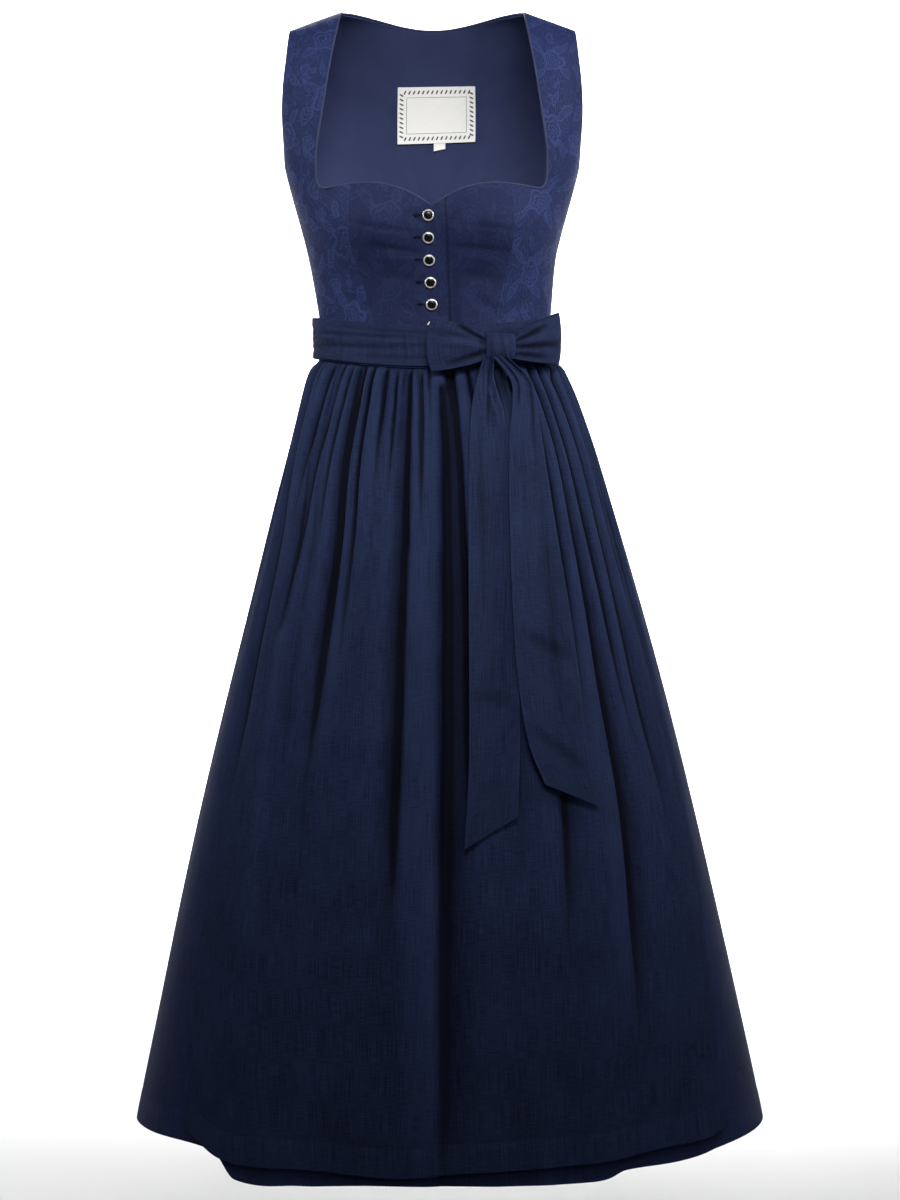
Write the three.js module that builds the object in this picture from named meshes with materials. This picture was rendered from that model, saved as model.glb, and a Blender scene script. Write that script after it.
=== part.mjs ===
import * as THREE from 'three';

// A dirndl as it hangs when worn, in millimetres. The origin is on the line over the two shoulders, +X is
// the wearer's left, +Y the wearer's back and +Z up. Each cloth piece is a closed wall made from its outer
// face. A point of the garment is found from its angle round the body and its level. The angle is 0 at
// +X, -90 degrees at the front and +90 degrees at the back. The level is the height, apart from two
// corrections: the shoulders slope down outwards, and the waist dips towards the front.

// Cloth walls and the clearances between them.
const BODICE_WALL = 2.0;
const LINING_WALL = 1.0;
const SKIRT_WALL = 1.6;
const TIE_WALL = 1.5;
const SEAM_GAP = 0.3;
const LAYER_GAP = 0.4;

// Levels of the bodice, the waist and the skirt.
const WAIST_LEVEL = -352;
const SKIRT_TOP = WAIST_LEVEL - 0.5;
const APRON_TOP = -368.8;
const BAND_TOP = -327;
const BAND_BOTTOM = -368;
const TIE_TOP = -324;
const TIE_BOTTOM = -366;
const UNDERARM_LEVEL = -168;
const FRONT_SEAM_TURN = -252;
const BACK_SEAM_TURN = -222;
const WAIST_DIP = 13;
const DIP_ENDS = -600;
const WAIST_FORM = -335;

// Shoulder and arch: the straps bend over the shoulder within ARCH_HEIGHT of its crest.
const ARCH_HEIGHT = 110;
const STRAP_INNER = 97;
const STRAP_OUTER = 150.5;
const SHOULDER_DROP = 19;
// An offset past the side, which stands for the side seam itself.
const SIDE_SEAM = 170;
// The level of the back's neck edge, and half the width over which the back there stays upright.
const NAPE_LEVEL = -7.5;
const NAPE_FLAT = 8;

// Cups: the height of the bulge, its place and its spread. It fades towards the side, over "edge".
const CUP = { bulge: 22, off: 70, level: -232, wide: 46, high: 40, edge: 60 };

// Button front. The right front laps over the left one, which reaches "underOff" below it. "start" past the
// lap's edge and within "slope", the left one comes up level with the right one.
const LAP = { topOff: 9, bottomOff: 15, underOff: -12, start: 3, slope: 12, fall: 0.3 };
const BUTTON = {
  radius: 6, high: 2.6, bevel: 0.7, shoulder: 1.6, foot: 0.2, stone: 4.3, stoneFoot: 0.3, stoneHigh: 2.0,
  dome: 1.6, lift: 0.8, first: -226.3, pitch: 22.3, count: 6, topOff: -3.2, bottomOff: -2.4,
};

const PIPING_RADIUS = 1.2;
const LABEL = { halfWidth: 43, top: -64, bottom: -124.6, wall: 1.0, gap: 0.95 };
const SIZE_TAB = { left: -3, right: 10, bottom: -132.4 };

// The bodice's outer face: half its width, its depth to the front and to the back, how square the section
// is, and how far the section is shifted to +X.
const BODICE = [
  { level: 0, half: 156, front: 78, back: 68, square: 3.2, shift: -3.7 },
  { level: -29, half: 158, front: 86, back: 80, square: 3.1, shift: -3.7 },
  { level: -70, half: 161, front: 93, back: 91, square: 3.0, shift: -3.6 },
  { level: -113, half: 162, front: 101, back: 99, square: 2.8, shift: -3.7 },
  { level: -150, half: 157.5, front: 108, back: 102, square: 2.6, shift: -4 },
  { level: -168, half: 155.2, front: 110, back: 101, square: 2.5, shift: -4.2 },
  { level: -200, half: 147, front: 111, back: 97, square: 2.4, shift: -4.2 },
  { level: -232, half: 138, front: 109, back: 92, square: 2.35, shift: -4.2 },
  { level: -261, half: 131, front: 103, back: 87, square: 2.3, shift: -4 },
  { level: -303, half: 125, front: 93, back: 82, square: 2.2, shift: -2 },
  { level: -335, half: 122, front: 88, back: 79, square: 2.2, shift: -0.5 },
  { level: -380, half: 122.5, front: 88, back: 80, square: 2.2, shift: 1 },
];

// The skirt's outer face, before its folds.
const SKIRT = [
  { level: -352, half: 122.5, front: 88, back: 80, square: 2.2, shift: 0 },
  { level: -362, half: 123.4, front: 89, back: 81, square: 2.2, shift: 0.4 },
  { level: -369, half: 124.6, front: 90.4, back: 82, square: 2.2, shift: 0.6 },
  { level: -376, half: 132, front: 96, back: 89, square: 2.2, shift: 1 },
  { level: -388, half: 138, front: 101, back: 95, square: 2.2, shift: 1.6 },
  { level: -410, half: 146, front: 107, back: 102, square: 2.2, shift: 3.5 },
  { level: -463, half: 162, front: 121, back: 118, square: 2.2, shift: 6.3 },
  { level: -516, half: 177, front: 134, back: 132, square: 2.2, shift: 7.6 },
  { level: -622, half: 205.8, front: 155, back: 157, square: 2.2, shift: 10.2 },
  { level: -728, half: 233.5, front: 173, back: 178, square: 2.15, shift: 11.4 },
  { level: -834, half: 259.2, front: 189, back: 197, square: 2.15, shift: 12 },
  { level: -940, half: 283, front: 203, back: 214, square: 2.15, shift: 12.8 },
  { level: -1046, half: 305.5, front: 216, back: 231, square: 2.1, shift: 14 },
  { level: -1152, half: 327.5, front: 228, back: 246, square: 2.1, shift: 14.8 },
  { level: -1195, half: 335, front: 232, back: 252, square: 2.1, shift: 15 },
];

// The neckline from the V at the front, over the cup, round the corner and up the strap.
const NECKLINE = [
  { off: 0, level: -217 },
  { off: 22, level: -204 },
  { off: 45, level: -196 },
  { off: 65, level: -193.5 },
  { off: 82, level: -194 },
  { off: 97, level: -195.6 },
  { off: 109, level: -197 },
  { off: 115, level: -195.2 },
  { off: 118.7, level: -190 },
  { off: 120.5, level: -180 },
  { off: 120.5, level: -160 },
  { off: 117.5, level: -136 },
  { off: 113.5, level: -110 },
];
const CUP_TOP_ROWS = 5;

// The strap's two edges above the neckline's table, by the turn over the shoulder in degrees.
const STRAP_TURNS = [
  { turn: 20, inner: 108.3, outer: 156 },
  { turn: 38, inner: 103.6, outer: 154 },
  { turn: 56, inner: 100, outer: 152.6 },
  { turn: 74, inner: 98, outer: 151.4 },
  { turn: 90, inner: STRAP_INNER, outer: STRAP_OUTER },
];

// The front armhole and the side seam, a row beside each row of NECKLINE from its cup end on.
const FRONT_ARMHOLE = [
  { off: SIDE_SEAM, level: -230 },
  { off: SIDE_SEAM, level: -210 },
  { off: SIDE_SEAM, level: -192 },
  { off: SIDE_SEAM, level: -178 },
  { off: SIDE_SEAM, level: UNDERARM_LEVEL },
  { off: 155.6, level: -161 },
  { off: 156.2, level: -140 },
  { off: 157.3, level: -110 },
];

// Half the width between the two princess seams of the front, and between the curved seams of the back.
const FRONT_SEAM = [
  { level: -380, off: 60 },
  { level: -335, off: 63 },
  { level: -287, off: 74 },
  { level: -245, off: 84 },
  { level: -194, off: 82 },
];
const BACK_SEAM = [
  { level: -352, off: 40 },
  { level: -300, off: 42 },
  { level: -240, off: 46 },
  { level: -190, off: 51 },
  { level: -155, off: 58 },
  { level: -125, off: 69 },
  { level: -100, off: 84 },
  { level: -80, off: 101 },
  { level: -66, off: 117 },
  { level: -57, off: 130 },
];
// The back armhole from the underarm up to the end of the curved seam, and on to the shoulder.
const BACK_ARMHOLE_LOW = [
  { off: SIDE_SEAM, level: UNDERARM_LEVEL },
  { off: 154.8, level: -161 },
  { off: 151.5, level: -142 },
  { off: 146, level: -115 },
  { off: 141, level: -84 },
  { off: 137.5, level: -56 },
];
const BACK_ARMHOLE_HIGH = [
  { off: 139, level: -52 },
  { off: 143, level: -31 },
  { off: 147, level: -12 },
  { off: STRAP_OUTER, level: 0 },
];

// The levels at which the skirt and the apron have a row of points, down to the hem.
const SKIRT_ROWS = [-361, -368.8, -376, -388, -410, -450, -520, -620, -750, -900, -1040];
const SKIRT_COLUMNS = 48;
const APRON_FROM = 5;

// The angle from the side at which the apron's two edges lie, in degrees.
const APRON_EDGE = [
  { level: -368, right: 16, left: 12 },
  { level: -463, right: 14, left: 12 },
  { level: -557, right: 21, left: 16 },
  { level: -690, right: 24, left: 20 },
  { level: -830, right: 28, left: 21 },
  { level: -990, right: 32, left: 28 },
  { level: -1080, right: 35.5, left: 32 },
  { level: -1195, right: 40.5, left: 35 },
];

// Height of the small gathers, and how far the apron stands off the skirt. The gathers differ in height
// from column to column.
const GATHER_VARIES = { share: 0.25, turn: 2.3 };
const GATHER = [
  { level: -352, high: 0.2, lift: 0.6 },
  { level: -369, high: 0.6, lift: 0.6 },
  { level: -376, high: 2.0, lift: 0.7 },
  { level: -400, high: 3.0, lift: 0.9 },
  { level: -450, high: 2.8, lift: 1.2 },
  { level: -540, high: 1.5, lift: 1.6 },
  { level: -700, high: 0.5, lift: 2.2 },
  { level: -1195, high: 0.3, lift: 3.5 },
];

// The larger folds of the front, by their angle from the centre front: troughs, and ridges where the
// depth is below zero. A fold runs from the angle "top" at its upper end to "low" at its lower end.
const FRONT_FOLDS = [
  { top: -43, low: -56, wide: 3.4, deep: 9, from: -366, to: -680 },
  { top: -32, low: -37, wide: 3.0, deep: 11, from: -366, to: -780 },
  { top: -19.5, low: -21, wide: 2.6, deep: 7, from: -366, to: -540 },
  { top: -9.5, low: -12.5, wide: 2.6, deep: 12, from: -366, to: -960 },
  { top: -7.5, low: -6.4, wide: 3.4, deep: -5, from: -560, to: -1230 },
  { top: 0.8, low: -2.6, wide: 3.4, deep: 11, from: -380, to: -1230 },
  { top: 5.5, low: 2.8, wide: 2.4, deep: 8, from: -366, to: -760 },
  { top: 17, low: 15, wide: 3.6, deep: 7, from: -370, to: -900 },
  { top: 29, low: 25, wide: 3.6, deep: 8, from: -370, to: -1000 },
  { top: 41, low: 44, wide: 3.4, deep: 12, from: -366, to: -1080 },
  { top: 54, low: 60, wide: 4.0, deep: 6, from: -376, to: -900 },
  { top: -52, low: -50, wide: 4.0, deep: -5, from: -640, to: -1060 },
  { top: -64, low: -66, wide: 4.0, deep: 6, from: -376, to: -860 },
];

// The larger folds of the back and the sides, by their angle from the centre back.
const BACK_FOLDS = [
  { top: -78, low: -74, wide: 4.0, deep: 6, from: -372, to: -900 },
  { top: -62, low: -64, wide: 3.6, deep: 10, from: -366, to: -760 },
  { top: -48, low: -45, wide: 4.2, deep: 9, from: -368, to: -1120 },
  { top: -33, low: -36, wide: 3.2, deep: 12, from: -366, to: -820 },
  { top: -19, low: -20, wide: 4.0, deep: 8, from: -368, to: -1000 },
  { top: -5, low: -3, wide: 3.4, deep: 13, from: -366, to: -1230 },
  { top: 8, low: 11, wide: 3.0, deep: 8, from: -366, to: -700 },
  { top: 21, low: 20, wide: 4.2, deep: 11, from: -368, to: -940 },
  { top: 37, low: 41, wide: 3.6, deep: 9, from: -366, to: -1180 },
  { top: 52, low: 50, wide: 3.4, deep: 11, from: -368, to: -720 },
  { top: 67, low: 70, wide: 4.4, deep: 8, from: -370, to: -980 },
  { top: 80, low: 79, wide: 3.6, deep: 6, from: -372, to: -840 },
];
const FOLD_FADE = 90;

// The hems by their offset from the middle: the skirt's front hangs lower under the apron.
const SKIRT_HEM = [
  { off: -335, level: -1164 },
  { off: -237, level: -1164 },
  { off: -215, level: -1189 },
  { off: -145, level: -1188 },
  { off: -75, level: -1184 },
  { off: 135, level: -1184 },
  { off: 155, level: -1182 },
  { off: 173, level: -1175 },
  { off: 235, level: -1173 },
  { off: 285, level: -1166 },
  { off: 335, level: -1164 },
];
const APRON_HEM = [
  { off: -277, level: -1138 },
  { off: -255, level: -1152 },
  { off: -231, level: -1168 },
  { off: -205, level: -1173 },
  { off: -135, level: -1171 },
  { off: -55, level: -1175 },
  { off: 25, level: -1170 },
  { off: 105, level: -1166 },
  { off: 155, level: -1164 },
  { off: 205, level: -1157 },
  { off: 260, level: -1154 },
  { off: 285, level: -1143 },
];
const BACK_HEM_DROP = 12;
const HEM_FORM = -1170;

// The knot: its place and half sizes, how far it lies off the ties, and the pleat pressed into its face.
const KNOT = { x: 59.5, z: -359, halfWide: 14, halfHigh: 11.5, halfDeep: 8, off: 0.7, power: 0.75 };
const KNOT_PLEAT = { deep: 1.1, at: -0.15, wide: 0.16 };
// For each loop, where it leaves the knot and its reach from there along the waist, and its half height
// at the end and at the knot. Its two layers lie "root" apart at the knot and "end" apart at its end.
const WAIST_RADIUS = 108;
const LOOP_WALL = 1.4;
const LOOP_SPREAD = { off: 4.8, root: 2.2, end: 6.0 };
const BOW_LOOPS = [
  { name: 'bow_loop_right', way: -1, from: 12, reach: 45, endHigh: 27, rootHigh: 10, endRise: 1 },
  { name: 'bow_loop_left', way: 1, from: 12.35, reach: 62.6, endHigh: 27, rootHigh: 9, endRise: 11 },
];

// The two tie ends: the x of both edges at each height. Their edges roll back by TIE_ROLL, and they follow
// the skirt's form from TIE_FORM_TOP down.
const TIE_ROLL = 1.2;
const TIE_FORM_TOP = -376;
const TIE_END_RIGHT = [
  { z: -370, left: 50.5, right: 60 },
  { z: -392, left: 43, right: 65 },
  { z: -423, left: 37, right: 74 },
  { z: -488, left: 34, right: 79 },
  { z: -600, left: 33.5, right: 82 },
  { z: -757, left: 33.5, right: 84 },
  { z: -828, left: 29, right: 82 },
];
const TIE_END_LEFT = [
  { z: -369.9, left: 58, right: 73 },
  { z: -393, left: 70, right: 96 },
  { z: -415, left: 74, right: 100 },
  { z: -455, left: 73, right: 108 },
  { z: -535, left: 75, right: 121 },
  { z: -631, left: 78, right: 137 },
  { z: -694, left: 82.5, right: 146 },
  { z: -757, left: 93, right: 154 },
  { z: -797, left: 108.8, right: 164 },
];

const COLOURS = {
  bodice: { color: 0x333c5f, roughness: 0.6, metalness: 0.0 },
  lining: { color: 0x2f3452, roughness: 0.75, metalness: 0.0 },
  piping: { color: 0x70768c, roughness: 0.6, metalness: 0.0 },
  skirt: { color: 0x171b2c, roughness: 0.8, metalness: 0.0 },
  apron: { color: 0x1d2234, roughness: 0.75, metalness: 0.0 },
  tie: { color: 0x22283f, roughness: 0.7, metalness: 0.0 },
  label: { color: 0xe7e7e4, roughness: 0.8, metalness: 0.0 },
  rim: { color: 0xc8c8c8, roughness: 0.3, metalness: 1.0 },
  stone: { color: 0x101114, roughness: 0.15, metalness: 0.0 },
};

const radians = THREE.MathUtils.degToRad;
const { lerp, smoothstep, clamp } = THREE.MathUtils;

/** Reads one column of a table at a value of its key column, on a smooth curve through the rows. */
function read(table, key, at, column) {
  const last = table.length - 1;
  const way = Math.sign(table[last][key] - table[0][key]);
  let row = 0;
  while (row < last - 1 && way * (at - table[row + 1][key]) > 0) row += 1;
  const slope = (index) => {
    const a = table[Math.max(index - 1, 0)];
    const b = table[Math.min(index + 1, last)];
    return (b[column] - a[column]) / (b[key] - a[key]);
  };
  const a = table[row];
  const b = table[row + 1];
  const span = b[key] - a[key];
  const t = clamp((at - a[key]) / span, 0, 1);
  const rise = (t * t) * (3 - 2 * t);
  const leave = t * (1 - t) * (1 - t) * span;
  const arrive = t * t * (t - 1) * span;
  return lerp(a[column], b[column], rise) + leave * slope(row) + arrive * slope(row + 1);
}

/** One section of a form table at a level. */
function section(table, level) {
  const column = (name) => read(table, 'level', level, name);
  return {
    half: column('half'),
    front: column('front'),
    back: column('back'),
    square: column('square'),
    shift: column('shift'),
  };
}

/** The point of a section at an angle: a superellipse, deeper at the front or the back. */
function sectionPoint(form, angle) {
  const cos = Math.cos(angle);
  const sin = Math.sin(angle);
  const power = 2 / form.square;
  const depth = sin < 0 ? form.front : form.back;
  return {
    off: form.half * Math.sign(cos) * Math.abs(cos) ** power,
    y: depth * Math.sign(sin) * Math.abs(sin) ** power,
  };
}

/** The angle in a front section, from -180 to 0 degrees, at which a point lies off to the side. */
function frontAngle(form, off) {
  const ratio = Math.min(Math.abs(off) / form.half, 1);
  const fromSide = Math.acos(ratio ** (form.square / 2));
  return off >= 0 ? -fromSide : fromSide - Math.PI;
}

/** 1 below the arch of the shoulder, falling to 0 at its crest along a quarter of an ellipse. */
function arch(level) {
  const up = clamp((level + ARCH_HEIGHT) / ARCH_HEIGHT, 0, 1);
  return Math.sqrt(Math.max(1 - up * up, 0));
}

/** The bodice's outer face at an angle and a level. */
function bodicePoint(angle, level) {
  const form = section(BODICE, level);
  const { off, y } = sectionPoint(form, angle);
  const reach = Math.abs(off);
  const towardsFront = y < 0;
  const folding = towardsFront ? 1 : smoothstep(reach, NAPE_FLAT, STRAP_INNER);
  const across = (reach - CUP.off) / CUP.wide;
  const up = (level - CUP.level) / CUP.high;
  const cup = towardsFront ? CUP.bulge * Math.exp(-across * across - up * up) : 0;
  const slope = clamp((reach - STRAP_INNER) / (STRAP_OUTER - STRAP_INNER), 0, 1.2);
  const nearCrest = smoothstep(level, -ARCH_HEIGHT, 0);
  return new THREE.Vector3(
    off + form.shift,
    y * (1 - folding * (1 - arch(level))) - cup * Math.min(1, -y / CUP.edge),
    level - SHOULDER_DROP * slope * nearCrest,
  );
}

/** The bodice's front face above or beside a point given by its offset from the middle. */
function bodiceFront(off, level) {
  return bodicePoint(frontAngle(section(BODICE, level), off), level);
}

/** The bodice's back face at an offset from the middle. */
function bodiceBack(off, level) {
  return bodicePoint(-frontAngle(section(BODICE, level), off), level);
}

/** How much the waist is lowered at an angle: most at the centre front. */
function waistDip(angle) {
  const front = Math.max(-Math.sin(angle), 0);
  return WAIST_DIP * front * front;
}

/** The waist edge of the bodice at an offset on its front. */
function frontWaist(off) {
  return WAIST_LEVEL - waistDip(frontAngle(section(BODICE, WAIST_LEVEL), off));
}

/** Steps from 0 to 1. */
function steps(count) {
  return Array.from({ length: count + 1 }, (_, index) => index / count);
}

/** A closed wall between a grid of outer points and the same points moved inwards. */
function wallGeometry(outer, inner) {
  const rows = outer.length;
  const columns = outer[0].length;
  const points = [...outer.flat(), ...inner.flat()];
  const positions = new Float32Array(points.flatMap((point) => [point.x, point.y, point.z]));
  const at = (row, column) => row * columns + column;
  const behind = rows * columns;
  const index = [];
  for (let row = 0; row < rows - 1; row += 1) {
    for (let column = 0; column < columns - 1; column += 1) {
      const a = at(row, column);
      const b = at(row, column + 1);
      const c = at(row + 1, column + 1);
      const d = at(row + 1, column);
      index.push(a, b, c, a, c, d);
      index.push(a + behind, c + behind, b + behind, a + behind, d + behind, c + behind);
    }
  }
  const rim = [];
  for (let column = 0; column < columns - 1; column += 1) rim.push(at(0, column));
  for (let row = 0; row < rows - 1; row += 1) rim.push(at(row, columns - 1));
  for (let column = columns - 1; column > 0; column -= 1) rim.push(at(rows - 1, column));
  for (let row = rows - 1; row > 0; row -= 1) rim.push(at(row, 0));
  rim.forEach((a, place) => {
    const b = rim[(place + 1) % rim.length];
    index.push(b, a, a + behind, b, a + behind, b + behind);
  });
  const geometry = new THREE.BufferGeometry();
  geometry.setAttribute('position', new THREE.BufferAttribute(positions, 3));
  geometry.setIndex(index);
  geometry.computeVertexNormals();
  return geometry;
}

/** The outward direction of a surface at (u, v), from small steps along both. */
function outward(surface, u, v) {
  const step = 1e-3;
  const u0 = Math.max(u - step, 0);
  const v0 = Math.max(v - step, 0);
  const u1 = Math.min(u + step, 1);
  const v1 = Math.min(v + step, 1);
  const along = surface(u1, v).sub(surface(u0, v));
  const up = surface(u, v1).sub(surface(u, v0));
  return along.cross(up).normalize();
}

/** Moves a point out along a direction. */
function moved(point, direction, distance) {
  return point.clone().addScaledVector(direction, distance);
}

/** A named piece with its material. */
function piece(name, geometry, look) {
  const mesh = new THREE.Mesh(geometry, new THREE.MeshStandardMaterial(COLOURS[look]));
  mesh.name = name;
  return mesh;
}

/**
 * A cloth wall on a surface, where u runs towards the wearer's left on the front and v runs up. The
 * wall is moved out by "lift", and grows inwards by "wall".
 */
function cloth(name, look, surface, { us, vs, wall, lift = 0 }) {
  const outer = [];
  const inner = [];
  vs.forEach((v) => {
    const faces = us.map((u) => ({ point: surface(u, v), direction: outward(surface, u, v) }));
    outer.push(faces.map((face) => moved(face.point, face.direction, lift)));
    inner.push(faces.map((face) => moved(face.point, face.direction, lift - wall)));
  });
  return piece(name, wallGeometry(outer, inner), look);
}

/** Reads a list of pairs at a fraction of its length, straight between them. */
function along(list, fraction, column) {
  const place = clamp(fraction, 0, 1) * (list.length - 1);
  const row = Math.min(Math.floor(place), list.length - 2);
  return lerp(list[row][column], list[row + 1][column], place - row);
}

/** The mirrored copy of a surface of the wearer's left, for the right. */
function mirrored(surface, shiftTable) {
  return (u, v) => {
    const point = surface(1 - u, v);
    const shift = read(shiftTable, 'level', point.z, 'shift');
    point.x = 2 * shift - point.x;
    return point;
  };
}

// The rows of the princess seam, shared by the centre front and the side front.
const SEAM_ROWS = 7;
const seamTop = NECKLINE[CUP_TOP_ROWS - 1].level;
const seamBottom = frontWaist(read(FRONT_SEAM, 'level', WAIST_LEVEL, 'off'));

/** The level and offset of the princess seam at a fraction of its height. */
function frontSeam(fraction) {
  const level = lerp(seamBottom, seamTop, fraction);
  return { level, off: read(FRONT_SEAM, 'level', level, 'off') };
}

/** The upper edge of a centre front at an offset to its own side. Past the V it runs on downwards. */
function cupTop(off) {
  const past = Math.min(off, 0) * LAP.fall;
  return read(NECKLINE.slice(0, CUP_TOP_ROWS), 'off', Math.max(off, 0), 'level') + past;
}

/** The surface of a centre front on one side, between two edges given as offsets by height. */
function centreFront(side, leftEdge, rightEdge) {
  return (u, v) => {
    const off = lerp(leftEdge(v), rightEdge(v), u);
    const bottom = frontWaist(lerp(leftEdge(0), rightEdge(0), u));
    const top = cupTop(side * lerp(leftEdge(1), rightEdge(1), u));
    return bodiceFront(off, lerp(bottom, top, v));
  };
}

/** The seam edge of a centre front, and the edge of its lap. */
const centreSeam = (v) => frontSeam(v).off - SEAM_GAP / 2;
const lapEdge = (v) => lerp(LAP.bottomOff, LAP.topOff, v);

/** The left centre front, which runs on under the lap, pressed in by the right one's wall. */
const leftFront = (u, v) => {
  const point = centreFront(1, () => LAP.underOff, centreSeam)(u, v);
  const beyond = (point.x - lapEdge(v) - LAP.start) / LAP.slope;
  point.y += (BODICE_WALL + LAYER_GAP * 2) * (1 - smoothstep(beyond, 0, 1));
  return point;
};

/** Both centre fronts. */
function centreFronts() {
  const right = centreFront(-1, (v) => -centreSeam(v), lapEdge);
  const vs = steps(SEAM_ROWS);
  return [
    cloth('bodice_front_right', 'bodice', right, { us: steps(8), vs, wall: BODICE_WALL }),
    cloth('bodice_front_left', 'bodice', leftFront, { us: steps(9), vs, wall: BODICE_WALL }),
  ];
}

/** The two edges of the side front at each row: the inner one and the outer one. */
function sideFrontRows() {
  const seam = steps(SEAM_ROWS).map((v) => ({
    inner: frontSeam(v),
    outer: { off: SIDE_SEAM, level: lerp(WAIST_LEVEL, FRONT_SEAM_TURN, v) },
  }));
  const neck = NECKLINE.slice(CUP_TOP_ROWS).map((inner, place) => ({ inner, outer: FRONT_ARMHOLE[place] }));
  const strap = STRAP_TURNS.map(({ turn, inner, outer }) => {
    const level = ARCH_HEIGHT * (Math.sin(radians(turn)) - 1);
    return { inner: { off: inner, level }, outer: { off: outer, level } };
  });
  return [...seam, ...neck, ...strap];
}

/** The surface between two edges given row by row, in a half of the bodice: -1 front or 1 back. */
function sideSurface(rows, half, innerGap) {
  const edges = rows.map(({ inner, outer }) => ({
    innerLevel: inner.level,
    innerOff: inner.off,
    outerLevel: outer.level,
    outerOff: outer.off,
  }));
  return (u, v) => {
    const fromInner = half < 0 ? u : 1 - u;
    const innerLevel = along(edges, v, 'innerLevel');
    const outerLevel = along(edges, v, 'outerLevel');
    const innerOff = along(edges, v, 'innerOff') + innerGap;
    const outerForm = section(BODICE, outerLevel);
    const outerOff = Math.min(along(edges, v, 'outerOff'), outerForm.half);
    const innerAngle = frontAngle(section(BODICE, innerLevel), innerOff);
    const outerAngle = frontAngle(outerForm, outerOff);
    const angle = -half * lerp(innerAngle, outerAngle, fromInner);
    const sag = waistDip(angle) - lerp(waistDip(-half * innerAngle), 0, fromInner);
    const nearWaist = clamp(1 - (v * (rows.length - 1)) / SEAM_ROWS, 0, 1);
    const point = bodicePoint(angle, lerp(innerLevel, outerLevel, fromInner) - sag * nearWaist);
    if (half * point.y < SEAM_GAP / 2) point.y = half * SEAM_GAP / 2;
    return point;
  };
}

/** Both side fronts, each cut in one with its strap. */
function sideFronts() {
  const rows = sideFrontRows();
  const left = sideSurface(rows, -1, SEAM_GAP / 2);
  const form = { us: steps(5), vs: steps(rows.length - 1), wall: BODICE_WALL };
  return [
    cloth('side_front_right', 'bodice', mirrored(left, BODICE), form),
    cloth('side_front_left', 'bodice', left, form),
  ];
}

/** The rows of the side back: the curved seam inside, and the side seam and armhole outside. */
function sideBackRows() {
  const outer = [
    ...steps(3).map((v) => ({ off: SIDE_SEAM, level: lerp(WAIST_LEVEL, BACK_SEAM_TURN, v) })),
    ...BACK_ARMHOLE_LOW,
  ];
  return BACK_SEAM.map((inner, place) => ({ inner, outer: outer[place] }));
}

/** The surface of the back between its curved seams, with both back straps. */
function backCentreSurface(edge) {
  const top = edge.length - 1;
  return (u, v) => {
    const signed = 1 - 2 * u;
    const level = along(edge, v, 'level');
    const off = (along(edge, v, 'off') - SEAM_GAP / 2) * signed;
    const middle = lerp(WAIST_LEVEL, NAPE_LEVEL, v);
    const blend = smoothstep(Math.abs(signed), 0, STRAP_INNER / STRAP_OUTER);
    const point = bodiceBack(off, lerp(middle, level, blend));
    point.y = Math.max(point.y, v * top > top - 1 ? SEAM_GAP / 2 : -Infinity);
    return point;
  };
}

// The columns of the back: its neck lies between two of them, with a shoulder on either side.
const NECK_FROM = 0.5 - STRAP_INNER / STRAP_OUTER / 2;
const NECK_TRIM = 0.008;
const BACK_COLUMNS = [
  0, NECK_FROM / 2, ...steps(10).map((t) => lerp(NECK_FROM, 1 - NECK_FROM, t)), 1 - NECK_FROM / 2, 1,
];

/** The back and the two side backs, or their lining further in. */
function backPieces(prefix, look, { wall, lift }) {
  const rows = sideBackRows();
  const edge = [...BACK_SEAM, ...BACK_ARMHOLE_HIGH];
  const left = sideSurface(rows, 1, SEAM_GAP / 2);
  const side = { us: steps(4), vs: steps(rows.length - 1), wall, lift };
  const centre = { us: BACK_COLUMNS, vs: steps(edge.length - 1), wall, lift };
  return [
    cloth(`${prefix}side_back_left`, look, left, side),
    cloth(`${prefix}side_back_right`, look, mirrored(left, BODICE), side),
    cloth(`${prefix}back_centre`, look, backCentreSurface(edge), centre),
  ];
}

/** A closed round rod through a list of points. */
function rodGeometry(points, radius, sides) {
  const rings = [];
  let across = new THREE.Vector3(0, 1, 0);
  points.forEach((point, place) => {
    const before = points[Math.max(place - 1, 0)];
    const after = points[Math.min(place + 1, points.length - 1)];
    const heading = after.clone().sub(before).normalize();
    across = across.clone().addScaledVector(heading, -across.dot(heading)).normalize();
    const other = heading.clone().cross(across);
    rings.push(steps(sides).slice(0, sides).map((turn) => {
      const angle = turn * 2 * Math.PI;
      const offset = across.clone().multiplyScalar(radius * Math.cos(angle));
      return point.clone().add(offset).addScaledVector(other, radius * Math.sin(angle));
    }));
  });
  const positions = new Float32Array(rings.flat().flatMap((point) => [point.x, point.y, point.z]));
  const index = [];
  rings.slice(1).forEach((_, ring) => {
    for (let side = 0; side < sides; side += 1) {
      const a = ring * sides + side;
      const b = ring * sides + ((side + 1) % sides);
      index.push(a, b, b + sides, a, b + sides, a + sides);
    }
  });
  const last = (rings.length - 1) * sides;
  for (let side = 1; side < sides - 1; side += 1) {
    index.push(0, side + 1, side);
    index.push(last, last + side, last + side + 1);
  }
  const geometry = new THREE.BufferGeometry();
  geometry.setAttribute('position', new THREE.BufferAttribute(positions, 3));
  geometry.setIndex(index);
  geometry.computeVertexNormals();
  return geometry;
}

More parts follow.
